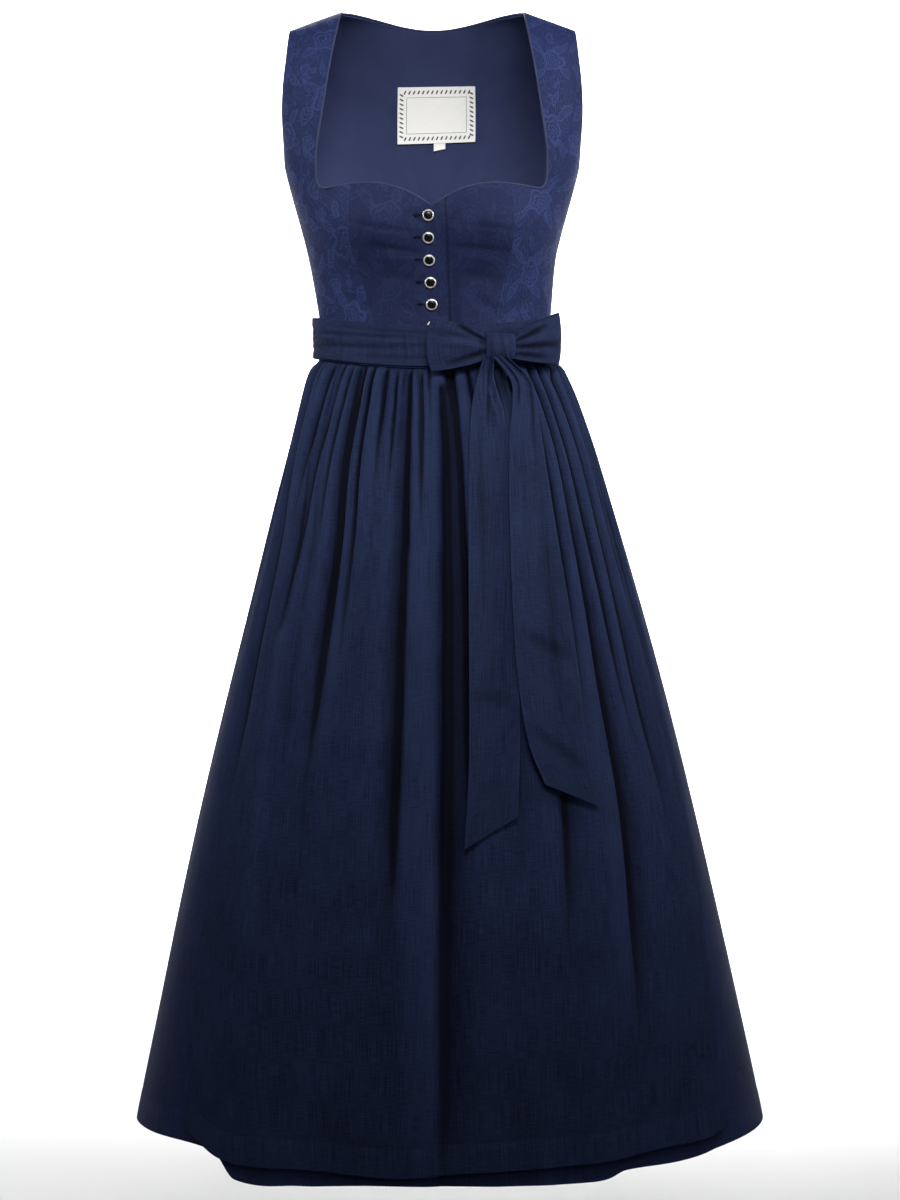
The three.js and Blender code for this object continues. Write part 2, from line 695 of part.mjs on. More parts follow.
/** The points beside a panel's edge on which a piping lies, half a wall in. */
function besideEdge(surface, places, turnsOut) {
  const clear = PIPING_RADIUS + SEAM_GAP + 0.1;
  const edge = places.map(({ u, v }) => ({ point: surface(u, v), direction: outward(surface, u, v) }));
  return edge.map(({ point, direction }, place) => {
    const before = edge[Math.max(place - 1, 0)].point;
    const after = edge[Math.min(place + 1, edge.length - 1)].point;
    const heading = after.clone().sub(before).normalize();
    const out = direction.clone().cross(heading).multiplyScalar(turnsOut);
    return moved(moved(point, out, clear), direction, -BODICE_WALL / 2);
  });
}

/** The piping round the neckline: one from the V to each shoulder, and one across the back. */
function pipings() {
  const rows = sideFrontRows();
  const strap = sideSurface(rows, -1, 0);
  const last = rows.length - 1;
  const strapPlaces = rows.map((_, row) => ({ u: 0, v: row / last })).slice(SEAM_ROWS + 1);
  const start = PIPING_RADIUS + SEAM_GAP;
  const path = (cup, cupEnd) => {
    const first = (start - cupEnd) / (centreSeam(1) - cupEnd);
    const cupPlaces = steps(7).map((u) => ({ u: lerp(first, 1, u), v: 1 }));
    const points = [...besideEdge(cup, cupPlaces, 1), ...besideEdge(strap, strapPlaces, 1)];
    points[points.length - 1].y = -start;
    return points;
  };
  const left = path(leftFront, LAP.underOff);
  const right = path(centreFront(1, () => 0, centreSeam), 0).map((point) => {
    const shift = read(BODICE, 'level', point.z, 'shift');
    return new THREE.Vector3(2 * shift - point.x, point.y, point.z);
  });
  const back = backCentreSurface([...BACK_SEAM, ...BACK_ARMHOLE_HIGH]);
  const neck = BACK_COLUMNS.filter((u) => u >= NECK_FROM && u <= 1 - NECK_FROM);
  neck[0] += NECK_TRIM;
  neck[neck.length - 1] -= NECK_TRIM;
  const nape = besideEdge(back, neck.map((u) => ({ u, v: 1 })), 1);
  return [
    piece('piping_front_right', rodGeometry(right, PIPING_RADIUS, 6), 'piping'),
    piece('piping_front_left', rodGeometry(left, PIPING_RADIUS, 6), 'piping'),
    piece('piping_back', rodGeometry(nape, PIPING_RADIUS, 6), 'piping'),
  ];
}

/** The bare label and the size tab under it, on the inside of the back lining. */
function labels() {
  const lift = -(BODICE_WALL + LAYER_GAP + LINING_WALL + LABEL.gap);
  const form = { us: steps(4), vs: steps(3), wall: LABEL.wall, lift };
  const patch = (left, right, bottom, top) => (u, v) => (
    bodiceBack(lerp(right, left, u) - BODICE[0].shift, lerp(bottom, top, v))
  );
  const tabTop = LABEL.bottom - SEAM_GAP;
  const wide = LABEL.halfWidth;
  return [
    cloth('label', 'label', patch(-wide, wide, LABEL.bottom, LABEL.top), form),
    cloth('size_tab', 'label', patch(SIZE_TAB.left, SIZE_TAB.right, SIZE_TAB.bottom, tabTop), form),
  ];
}

/** The buttons: a metal rim with a domed stone in it, each on the face of the right front. */
function buttons() {
  const hole = BUTTON.stone + SEAM_GAP;
  const rimProfile = [
    new THREE.Vector2(hole, BUTTON.foot),
    new THREE.Vector2(BUTTON.radius, BUTTON.foot),
    new THREE.Vector2(BUTTON.radius, BUTTON.shoulder),
    new THREE.Vector2(BUTTON.radius - BUTTON.bevel, BUTTON.high),
    new THREE.Vector2(hole, BUTTON.high),
    new THREE.Vector2(hole, BUTTON.foot),
  ];
  const stoneProfile = [
    new THREE.Vector2(0, BUTTON.stoneFoot),
    new THREE.Vector2(BUTTON.stone, BUTTON.stoneFoot),
    new THREE.Vector2(BUTTON.stone, BUTTON.stoneHigh),
    new THREE.Vector2(BUTTON.stone * 0.6, BUTTON.stoneHigh + BUTTON.dome * 0.7),
    new THREE.Vector2(0, BUTTON.stoneHigh + BUTTON.dome),
  ];
  const pieces = [];
  for (let place = 0; place < BUTTON.count; place += 1) {
    const level = BUTTON.first - place * BUTTON.pitch;
    const off = lerp(BUTTON.topOff, BUTTON.bottomOff, place / (BUTTON.count - 1));
    const seat = bodiceFront(off, level);
    const direction = seat.clone().sub(bodiceFront(off, level + 1)).cross(new THREE.Vector3(1, 0, 0));
    direction.normalize();
    if (direction.y > 0) direction.negate();
    const turn = new THREE.Quaternion().setFromUnitVectors(new THREE.Vector3(0, 1, 0), direction);
    const parts = [
      piece(`button_rim_${place + 1}`, new THREE.LatheGeometry(rimProfile, 12), 'rim'),
      piece(`button_stone_${place + 1}`, new THREE.LatheGeometry(stoneProfile, 10), 'stone'),
    ];
    parts.forEach((mesh) => {
      mesh.quaternion.copy(turn);
      mesh.position.copy(moved(seat, direction, BUTTON.lift));
      pieces.push(mesh);
    });
  }
  return pieces;
}

/** How deep the larger folds press a column in, at an angle from the middle of its half. */
function foldDepth(folds, degrees, level) {
  return folds.reduce((sum, fold) => {
    const run = clamp((level - fold.from) / (fold.to - fold.from), 0, 1);
    const across = (degrees - lerp(fold.top, fold.low, run)) / fold.wide;
    const started = smoothstep(-level, -fold.from, -fold.from + FOLD_FADE);
    const ended = 1 - smoothstep(-level, -fold.to - FOLD_FADE * 2, -fold.to);
    return sum + fold.deep * Math.exp(-across * across) * started * ended;
  }, 0);
}

/** The angle of a column at a level: the apron's edges move away from the sides lower down. */
function columnAngle(column, level) {
  const step = Math.PI / SKIRT_COLUMNS;
  const plain = column * step;
  const edgeAt = APRON_FROM * step;
  const fromRight = plain;
  const fromLeft = Math.PI - plain;
  const onRight = fromRight < fromLeft;
  const fromSide = Math.min(fromRight, fromLeft);
  const edge = radians(read(APRON_EDGE, 'level', level, onRight ? 'right' : 'left'));
  const share = fromSide < edgeAt ? fromSide / edgeAt : (Math.PI / 2 - fromSide) / (Math.PI / 2 - edgeAt);
  return -Math.PI + plain + (onRight ? 1 : -1) * (edge - edgeAt) * share;
}

/** The hem level of the skirt or of the apron at an angle. */
function hemLevel(angle, onApron) {
  if (Math.sin(angle) > 0) return SKIRT_HEM[0].level - BACK_HEM_DROP * Math.sin(angle) ** 1.5;
  const { off } = sectionPoint(section(SKIRT, HEM_FORM), angle);
  return read(onApron ? APRON_HEM : SKIRT_HEM, 'off', off, 'level');
}

/** A skirt wall: columns by their angle, rows by their level, moved out by its folds. */
function skirtWall(name, look, { columns, half, rows, wall, onApron }) {
  const folds = half < 0 ? FRONT_FOLDS : BACK_FOLDS;
  const grid = (inwards) => rows.map((row) => columns.map((column) => {
    const angle = half < 0 ? columnAngle(column, row ?? HEM_FORM) : (column * Math.PI) / SKIRT_COLUMNS;
    const level = row ?? hemLevel(angle, onApron);
    const form = section(SKIRT, level);
    const { off, y } = sectionPoint(form, angle);
    const direction = levelNormal(form, angle);
    const degrees = (column * 180) / SKIRT_COLUMNS - 90;
    const varied = 1 - GATHER_VARIES.share * (1 - Math.sin(GATHER_VARIES.turn * column));
    const gather = (column % 2 ? 1 : -1) * read(GATHER, 'level', level, 'high') * varied;
    const lift = onApron ? read(GATHER, 'level', level, 'lift') + SKIRT_WALL : 0;
    const out = gather - foldDepth(folds, degrees, level) + lift - inwards;
    const fade = 1 - smoothstep(-level, -WAIST_LEVEL, -DIP_ENDS);
    const point = new THREE.Vector3(off + form.shift, y, level - waistDip(angle) * fade);
    point.addScaledVector(direction, out);
    if (half * point.y < SEAM_GAP / 2) point.y = half * SEAM_GAP / 2;
    return point;
  }));
  return piece(name, wallGeometry(grid(0), grid(wall)), look);
}

/** The skirt's two panels and the apron, whose columns are the skirt's own. */
function skirts() {
  const all = Array.from({ length: SKIRT_COLUMNS + 1 }, (_, column) => column);
  const upwards = (rows) => [null, ...rows.slice().reverse()];
  const rows = upwards([SKIRT_TOP, ...SKIRT_ROWS]);
  const apronRows = upwards(SKIRT_ROWS.filter((level) => level <= APRON_TOP));
  const apronColumns = all.slice(APRON_FROM, SKIRT_COLUMNS + 1 - APRON_FROM);
  return [
    skirtWall('skirt_front', 'skirt', { columns: all, half: -1, rows, wall: SKIRT_WALL, onApron: false }),
    skirtWall('skirt_back', 'skirt', { columns: all, half: 1, rows, wall: SKIRT_WALL, onApron: false }),
    skirtWall('apron_skirt', 'apron', {
      columns: apronColumns, half: -1, rows: apronRows, wall: SKIRT_WALL, onApron: true,
    }),
  ];
}

/** The level outward direction of a section at an angle. */
function levelNormal(form, angle) {
  const ahead = sectionPoint(form, angle + 1e-3);
  const behind = sectionPoint(form, angle - 1e-3);
  return new THREE.Vector3(ahead.y - behind.y, behind.off - ahead.off, 0).normalize();
}

/** The waist's face at an angle and a level, moved out. */
function waistPoint(angle, level, out) {
  const form = section(BODICE, Math.min(level, WAIST_FORM));
  const { off, y } = sectionPoint(form, angle);
  const point = new THREE.Vector3(off + form.shift, y, level - waistDip(angle));
  return point.addScaledVector(levelNormal(form, angle), out);
}

// How far the layers at the waist lie off the bodice, and the creases pressed into the ties.
const BAND_OUT = 6.3;
const BAND_WALL = 1.6;
const BAND_ENDS = { right: 14, left: 12 };
const TIE_CREASE = { high: 0.5, waves: 9, wander: 2.2, apart: 0.3 };
const TIE_OUT = BAND_OUT + LAYER_GAP + TIE_WALL;
const KNOT_ANGLE = frontAngle(section(BODICE, TIE_BOTTOM), KNOT.x);

/** The apron's waistband, from side to side across the front. */
function waistband() {
  const from = radians(-180 + BAND_ENDS.right);
  const to = radians(-BAND_ENDS.left);
  const surface = (u, v) => waistPoint(lerp(from, to, u), lerp(BAND_BOTTOM, BAND_TOP, v), BAND_OUT);
  return cloth('apron_waistband', 'apron', surface, { us: steps(24), vs: steps(2), wall: BAND_WALL });
}

/** The ties, wound round the waist once, with soft creases along them. */
function tieWrap() {
  const apart = radians(TIE_CREASE.apart);
  const surface = (u, v) => {
    const angle = lerp(KNOT_ANGLE + apart, KNOT_ANGLE + 2 * Math.PI - apart, u);
    const wave = Math.sin(v * TIE_CREASE.waves + TIE_CREASE.wander * Math.sin(angle * 2));
    const crease = TIE_CREASE.high * (1 + wave * Math.sin(v * Math.PI));
    return waistPoint(angle, lerp(TIE_BOTTOM, TIE_TOP, v), TIE_OUT + crease);
  };
  return cloth('apron_tie_wrap', 'tie', surface, { us: steps(48), vs: steps(4), wall: TIE_WALL });
}

/** One loop of the bow: a strip that leaves the knot, turns and comes back behind itself. */
function bowLoop({ name, way, from, reach, endHigh, rootHigh, endRise }) {
  const surface = (u, v) => {
    const turn = way < 0 ? u : 1 - u;
    const far = Math.sin(turn * Math.PI) ** 0.7;
    const spread = lerp(LOOP_SPREAD.root, LOOP_SPREAD.end, smoothstep(far, 0, 0.7));
    const out = TIE_OUT + LOOP_SPREAD.off + spread - spread * Math.cos(Math.PI * turn);
    const high = lerp(rootHigh, endHigh, far ** 0.8);
    const angle = KNOT_ANGLE + (way * (from + reach * far)) / WAIST_RADIUS;
    const point = waistPoint(angle, TIE_BOTTOM, out);
    point.z = KNOT.z + endRise * far + (v * 2 - 1) * high;
    return point;
  };
  return cloth(name, 'tie', surface, { us: steps(14), vs: steps(3), wall: LOOP_WALL });
}

/** The knot: a short barrel with a pleat pressed into its face. */
function bowKnot() {
  const geometry = new THREE.SphereGeometry(1, 16, 10);
  const seat = waistPoint(KNOT_ANGLE, TIE_BOTTOM, TIE_OUT + KNOT.off + KNOT.halfDeep);
  const position = geometry.getAttribute('position');
  const squared = (value) => (Math.abs(value) < 1e-6 ? 0 : Math.sign(value) * Math.abs(value) ** KNOT.power);
  for (let place = 0; place < position.count; place += 1) {
    const x = squared(position.getX(place));
    const up = squared(position.getY(place));
    const front = squared(position.getZ(place));
    const across = (x - KNOT_PLEAT.at) / KNOT_PLEAT.wide;
    const pleat = front > 0 ? KNOT_PLEAT.deep * Math.exp(-across * across) : 0;
    position.setXYZ(place, x * KNOT.halfWide, pleat - front * KNOT.halfDeep, up * KNOT.halfHigh);
  }
  geometry.computeVertexNormals();
  const mesh = piece('bow_knot', geometry, 'tie');
  const facing = levelNormal(section(BODICE, WAIST_FORM), KNOT_ANGLE);
  mesh.rotation.z = Math.atan2(facing.x, -facing.y);
  mesh.position.set(seat.x, seat.y, KNOT.z);
  return mesh;
}

/**
 * One tie end, hanging "clear" off the skirt's form, in front of the apron's folds. Its lower edge is cut
 * slanting: "slant" gives how much lower it hangs across its width.
 */
function tieEnd(name, table, { clear, slant }) {
  const bottom = table[table.length - 1].z;
  const top = table[0].z;
  const surface = (u, v) => {
    const z = lerp(bottom, top, v);
    const x = lerp(read(table, 'z', z, 'left'), read(table, 'z', z, 'right'), u);
    const hang = (1 - v) ** 3 * slant(u);
    const form = section(SKIRT, Math.min(z + WAIST_DIP * (v ** 4), TIE_FORM_TOP));
    const angle = frontAngle(form, x - form.shift);
    const { y } = sectionPoint(form, angle);
    const roll = TIE_ROLL * Math.cos(u * Math.PI * 2);
    return new THREE.Vector3(x, y - clear - roll, z - hang);
  };
  return cloth(name, 'tie', surface, { us: steps(5), vs: steps(12), wall: TIE_WALL });
}

/** Both tie ends. The wearer's left one lies over the right one below the knot. */
function tieEnds() {
  return [
    tieEnd('tie_end_right', TIE_END_RIGHT, { clear: 11.5, slant: (u) => lerp(32, 0, u) }),
    tieEnd('tie_end_left', TIE_END_LEFT, { clear: 16, slant: (u) => lerp(0, 24, u) }),
  ];
}

const garment = new THREE.Group();
garment.add(
  ...centreFronts(),
  ...sideFronts(),
  ...backPieces('', 'bodice', { wall: BODICE_WALL, lift: 0 }),
  ...backPieces('lining_', 'lining', { wall: LINING_WALL, lift: -(BODICE_WALL + LAYER_GAP) }),
  ...pipings(),
  ...labels(),
  ...buttons(),
  ...skirts(),
  waistband(),
  tieWrap(),
  ...BOW_LOOPS.map(bowLoop),
  bowKnot(),
  ...tieEnds(),
);

export default garment;
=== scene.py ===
"""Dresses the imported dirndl: cloth, piping, bow, buttons, label, studio and camera.

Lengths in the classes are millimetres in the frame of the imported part. The origin is on the line over the two
shoulders, +X is the wearer's left, +Y the wearer's back and +Z up. A mesh gets its points in metres.
"""

from __future__ import annotations

import logging
import math
from dataclasses import dataclass, replace
from enum import Enum
from typing import Callable, Sequence

import bpy
import numpy as np
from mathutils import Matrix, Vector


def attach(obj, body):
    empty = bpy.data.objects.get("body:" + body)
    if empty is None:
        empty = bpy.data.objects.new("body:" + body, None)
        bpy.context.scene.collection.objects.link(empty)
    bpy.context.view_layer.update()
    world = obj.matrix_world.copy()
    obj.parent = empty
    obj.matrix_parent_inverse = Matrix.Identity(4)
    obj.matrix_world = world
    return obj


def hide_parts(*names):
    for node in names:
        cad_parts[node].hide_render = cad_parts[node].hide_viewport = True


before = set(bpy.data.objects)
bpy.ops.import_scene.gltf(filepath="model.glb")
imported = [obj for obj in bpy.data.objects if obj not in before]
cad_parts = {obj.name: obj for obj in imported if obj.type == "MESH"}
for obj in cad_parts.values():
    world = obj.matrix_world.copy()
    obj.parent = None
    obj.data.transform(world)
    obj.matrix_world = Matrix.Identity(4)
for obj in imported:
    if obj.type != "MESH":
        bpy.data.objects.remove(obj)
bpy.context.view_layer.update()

log = logging.getLogger("dirndl")
Array = np.ndarray
Edge = Callable[[Array | float], Array]
Point = tuple[float, float, float]
Line = tuple[Array, Array, Array]
Places = tuple[tuple[float, float], ...]
Rows = Sequence[tuple[float, float, float, float]]
Colour = tuple[float, float, float]
Piece = bpy.types.Object
Socket = bpy.types.NodeSocket
METRE = 0.001
# A cut is never stated smaller than this, in metres.
LEAST_CUT = 0.0105
# A cut fills at least this share of its width times its length.
LEAST_SHARE = 0.31
# Edges between faces turned by more than this, in degrees, stay sharp.
SHARP = 56.0


# Numbers and tables.


def smooth(value: Array | float, low: float, high: float) -> Array:
    """Rise from 0 at low to 1 at high, as 3t² - 2t³."""
    t = np.clip((np.asarray(value, float) - low) / (high - low), 0.0, 1.0)
    return t * t * (3.0 - 2.0 * t)


def lerp(start: Array | float, end: Array | float, share: Array | float) -> Array:
    """Go straight from start to end by a share."""
    return start + (end - start) * share


def unit(vectors: Array) -> Array:
    """Scale vectors in the last axis to length 1."""
    return vectors / np.maximum(np.linalg.norm(vectors, axis=-1, keepdims=True), 1e-9)


def bell(value: Array | float) -> Array:
    """Fall off from 1 as exp(-value²)."""
    return np.exp(-(value ** 2))


def fall(value: Array | float, power: float) -> Array:
    """Find a fall from 1 at 0 towards 0 on either side: exp(-|value|^power)."""
    return np.exp(-np.abs(value) ** power)


def ramp(value: Array, start: float, span: float, most: float) -> Array:
    """Rise straight from 0 at a start to the most a span further on."""
    return np.clip((value - start) / span, 0, 1) * most


def squared_off(value: Array, power: float | Array) -> Array:
    """Raise a value to a power and keep its sign."""
    return np.sign(value) * np.abs(value) ** power


def shares(columns: int, rows: int, last: float = 1.0) -> tuple[Array, Array]:
    """Spread 0 to 1 over a grid's columns, and 0 to last over its rows, by its steps across and up."""
    return np.meshgrid(np.linspace(0, 1, columns + 1), np.linspace(0, last, rows + 1))


def run_along(points: Array) -> Array:
    """Add up the run along a line of points, from 0."""
    return np.concatenate([[0], np.cumsum(np.linalg.norm(np.diff(points, axis=0), axis=1))])


@dataclass(frozen=True)
class Table:
    """Rows of numbers, read on a smooth curve through them.

    The curve between two rows is a cubic with the slopes of the rows beside it. With steady set it never
    swings past a row.
    """

    names: tuple[str, ...]
    rows: Sequence[tuple[float, ...]]
    steady: bool = False

    def read(self, where: Array | float, name: str) -> Array:
        """Read a column at values of the first one.

        Args:
            where: values of the first column. Beyond the ends, the end rows hold.
            name: the column to read.

        Returns:
            The column's values there.
        """
        data = np.array(sorted(self.rows), float)
        keys, values = data[:, 0], data[:, self.names.index(name)]
        secant = np.diff(values) / np.diff(keys)
        slope = np.empty_like(values)
        slope[1:-1] = (values[2:] - values[:-2]) / (keys[2:] - keys[:-2])
        slope[0], slope[-1] = secant[0], secant[-1]
        if self.steady:
            before, after = secant[:-1], secant[1:]
            limit = np.minimum(np.abs(before), np.abs(after)) * 2
            flat = before * after <= 0
            slope[1:-1] = np.where(flat, 0.0, np.sign(before) * np.minimum(np.abs(slope[1:-1]), limit))
        where = np.clip(np.asarray(where, float), keys[0], keys[-1])
        row = np.clip(np.searchsorted(keys, where) - 1, 0, len(keys) - 2)
        span = keys[row + 1] - keys[row]
        t = (where - keys[row]) / span
        rise = t * t * (3 - 2 * t)
        bend = t * (1 - t) ** 2 * span * slope[row] + t * t * (t - 1) * span * slope[row + 1]
        return values[row] + (values[row + 1] - values[row]) * rise + bend


def numbered(names: tuple[str, ...], rows: Sequence[tuple[float, ...]]) -> Table:
    """Number rows from 0 and make a steady table of them."""
    return Table(("row", *names), [(row, *values) for row, values in enumerate(rows)], steady=True)


SECTION = ("level", "half", "front", "back", "square", "shift")

# The bodice's outer face: half its width, its depth to front and back, how square it is, and its shift to +X.
BODICE = Table(SECTION, (
    (0, 156, 78, 68, 3.2, -3.7), (-29, 158, 86, 80, 3.1, -3.7), (-70, 161, 93, 91, 3.0, -3.6),
    (-113, 162, 101, 99, 2.8, -3.7), (-150, 157.5, 108, 102, 2.6, -4), (-168, 155.2, 110, 101, 2.5, -4.2),
    (-200, 147, 111, 97, 2.4, -4.2), (-232, 138, 109, 92, 2.35, -4.2), (-261, 131, 103, 87, 2.3, -4),
    (-303, 125, 93, 82, 2.2, -2), (-335, 122, 88, 79, 2.2, -0.5), (-380, 122.5, 88, 80, 2.2, 1),
))

# The skirt's outer face, before its folds.
SKIRT = Table(SECTION, (
    (-352, 122.5, 88, 80, 2.2, 0), (-362, 123.4, 89, 81, 2.2, 0.4), (-369, 124.6, 90.4, 82, 2.2, 0.6),
    (-376, 132, 96, 89, 2.2, 1), (-388, 138, 101, 95, 2.2, 1.6), (-410, 146, 107, 102, 2.2, 3.5),
    (-463, 162, 121, 118, 2.2, 6.3), (-516, 177, 134, 132, 2.2, 7.6), (-622, 205.8, 155, 157, 2.2, 10.2),
    (-728, 233.5, 173, 178, 2.15, 11.4), (-834, 259.2, 189, 197, 2.15, 12),
    (-940, 283, 203, 214, 2.15, 12.8), (-1046, 305.5, 216, 231, 2.1, 14),
    (-1152, 327.5, 228, 246, 2.1, 14.8), (-1195, 335, 232, 252, 2.1, 15),
))


@dataclass(frozen=True)
class Section:
    """Level sections of a form table, one for each level asked for."""

    half: Array
    front: Array
    back: Array
    square: Array
    shift: Array

    @classmethod
    def of(cls, table: Table, level: Array | float) -> Section:
        """Read the sections of a table at levels."""
        return cls(*(table.read(level, name) for name in SECTION[1:]))

    def point(self, angle: Array) -> tuple[Array, Array]:
        """Find the point at an angle: a superellipse, deeper at the front or the back.

        Args:
            angle: 0 at +X, -90 degrees at the front, in radians.

        Returns:
            The offset from the middle, and y.
        """
        sin, power = np.sin(angle), 2 / self.square
        depth = np.where(sin < 0, self.front, self.back)
        return self.half * squared_off(np.cos(angle), power), depth * squared_off(sin, power)

    def front_angle(self, off: Array | float) -> Array:
        """Find the angle on the front at which a point lies off to the side."""
        ratio = np.minimum(np.abs(off) / self.half, 1)
        side = np.arccos(ratio ** (self.square / 2))
        return np.where(np.asarray(off) >= 0, -side, side - math.pi)

    def normal(self, angle: Array) -> Array:
        """Find the level outward direction at an angle, from two points beside it."""
        ahead, behind = self.point(angle + 1e-3), self.point(angle - 1e-3)
        across = ahead[1] - behind[1]
        return unit(np.stack([across, behind[0] - ahead[0], np.zeros_like(across)], -1))


@dataclass(frozen=True)
class Crease:
    """A soft trough along a straight line of two coordinates, or a ridge where deep is below zero."""

    start: tuple[float, float]
    end: tuple[float, float]
    wide: float
    deep: float

    def scaled(self, first: float, second: float, shift: float = 0.0) -> Crease:
        """Stretch its line along both coordinates, and shift it along the first."""
        start, end = ((a * first + shift, b * second) for a, b in (self.start, self.end))
        return replace(self, start=start, end=end)


def creases_of(*rows: tuple[float, ...]) -> tuple[Crease, ...]:
    """Make creases of rows: the start's and the end's two coordinates, the width and the depth."""
    return tuple(Crease(row[:2], row[2:4], *row[4:]) for row in rows)


def pressed(a: Array, b: Array, creases: Sequence[Crease]) -> Array:
    """Add up how deep creases press a surface in.

    Each is a bell curve across its line, deep · exp(-(distance / wide)²), which fades at the line's ends.

    Args:
        a: the first coordinate.
        b: the second coordinate.
        creases: the lines in these coordinates.

    Returns:
        The depth at each point.
    """
    total = np.zeros(np.broadcast(a, b).shape)
    for crease in creases:
        run = np.subtract(crease.end, crease.start, dtype=float)
        da, db = a - crease.start[0], b - crease.start[1]
        share = (da * run[0] + db * run[1]) / (run @ run)
        near = np.clip(share, 0, 1)
        distance = np.hypot(da - near * run[0], db - near * run[1])
        ends = smooth(share, -0.15, 0.3) * (1 - smooth(share, 0.7, 1.15))
        total += crease.deep * bell(distance / crease.wide) * ends
    return total


# The hollow form that the dress keeps.


@dataclass(frozen=True)
class Form:
    """The garment's hollow form: the bodice's face, the shoulder's arch, the cups and the dipping waist."""

    waist: float = -352.0
    arch_height: float = 110.0
    strap_inner: float = 97.0
    strap_outer: float = 150.5
    shoulder_drop: float = 19.0
    nape_flat: float = 8.0
    cup_bulge: float = 22.0
    cup_off: float = 70.0
    cup_level: float = -232.0
    cup_wide: float = 46.0
    cup_high: float = 40.0
    cup_edge: float = 60.0
    waist_dip: float = 13.0
    waist_form: float = -335.0

    def arch(self, level: Array) -> Array:
        """Fall from 1 below the arch to 0 at the shoulder's crest, along a quarter of an ellipse."""
        up = np.clip((level + self.arch_height) / self.arch_height, 0, 1)
        return np.sqrt(np.maximum(1 - up * up, 0))

    def bodice(self, angle: Array, level: Array) -> Array:
        """Find the bodice's outer face.

        A section's point is drawn in by the arch near the shoulder, pushed out by a bell curve at the cup,
        and lowered towards the end of the shoulder.

        Args:
            angle: 0 at +X, -90 degrees at the front, in radians.
            level: the height before the shoulder's slope.

        Returns:
            The points, in the last axis.
        """
        form = Section.of(BODICE, level)
        off, y = form.point(angle)
        reach = np.abs(off)
        front = y < 0
        folding = np.where(front, 1.0, smooth(reach, self.nape_flat, self.strap_inner))
        across, up = (reach - self.cup_off) / self.cup_wide, (level - self.cup_level) / self.cup_high
        cup = np.where(front, self.cup_bulge * np.exp(-across * across - up * up), 0.0)
        slope = np.clip((reach - self.strap_inner) / (self.strap_outer - self.strap_inner), 0, 1.2)
        return np.stack([
            off + form.shift,
            y * (1 - folding * (1 - self.arch(level))) - cup * np.minimum(1, -y / self.cup_edge),
            level - self.shoulder_drop * slope * smooth(level, -self.arch_height, 0),
        ], -1)

    def bodice_front(self, off: Array, level: Array) -> Array:
        """Find the bodice's front face at an offset from the middle."""
        return self.bodice(Section.of(BODICE, level).front_angle(off), level)

    def bodice_back(self, off: Array, level: Array) -> Array:
        """Find the bodice's back face at an offset from the middle."""
        return self.bodice(-Section.of(BODICE, level).front_angle(off), level)

    def dip(self, angle: Array | float) -> Array:
        """Find how much the waist is lowered at an angle: its front share, squared."""
        return self.waist_dip * np.maximum(-np.sin(angle), 0) ** 2

    def front_waist(self, off: Array | float) -> Array:
        """Find the waist edge of the bodice at an offset on its front."""
        return self.waist - self.dip(Section.of(BODICE, self.waist).front_angle(off))

    def waist_point(self, angle: Array, level: Array, out: Array | float) -> Array:
        """Find a point of the waist's face, moved out along its level normal."""
        form = Section.of(BODICE, np.minimum(level, self.waist_form))
        off, y = form.point(angle)
        face = np.stack([off + form.shift, y, level - self.dip(angle)], -1)
        return face + form.normal(angle) * np.asarray(out)[..., None]


FORM = Form()


# Meshes.


class Grain(Enum):
    """How the cloth's threads run over a piece."""

    LAID = "laid"
    GATHERED = "gathered"


def face_normals(grid: Array) -> Array:
    """Find a grid's outward directions: the columns' step crossed with the rows' step."""
    return unit(np.cross(np.gradient(grid, axis=1), np.gradient(grid, axis=0)))


def run_length(grid: Array, axis: int) -> Array:
    """Add up the lengths of a grid's steps along an axis, from 0."""
    steps = np.linalg.norm(np.diff(grid, axis=axis), axis=-1)
    total = np.cumsum(steps, axis=axis)
    pad = [(0, 0), (0, 0)]
    pad[axis] = (1, 0)
    return np.pad(total, pad)


def make_object(name: str, points: Array, faces: list[Array], finish: Finish, uv: Array | None = None,
                marks: dict[str, Array] | None = None) -> Piece:
    """Make an object of points and faces.

    Args:
        name: the object's name.
        points: its points in millimetres.
        faces: arrays of faces, one array for each number of corners.
        finish: its material.
        uv: a place on the cloth in metres for each point.
        marks: numbers for each point, by the name of their attribute.

    Returns:
        The object, at the origin.
    """
    mesh = bpy.data.meshes.new(name)
    mesh.from_pydata((points * METRE).tolist(), [], [face for group in faces for face in group.tolist()])
    if uv is not None:
        corners = np.empty(len(mesh.loops), np.int32)
        mesh.loops.foreach_get("vertex_index", corners)
        layer = mesh.uv_layers.new(name="Cloth")
        layer.data.foreach_set("uv", uv[corners].astype(np.float32).ravel())
    for mark, values in (marks or {}).items():
        attribute = mesh.attributes.new(mark, "FLOAT", "POINT")
        attribute.data.foreach_set("value", values.astype(np.float32).ravel())
    mesh.shade_smooth()
    mesh.set_sharp_from_angle(angle=math.radians(SHARP))
    mesh.materials.append(finish.material())
    made = bpy.data.objects.new(name, mesh)
    bpy.context.scene.collection.objects.link(made)
    return made


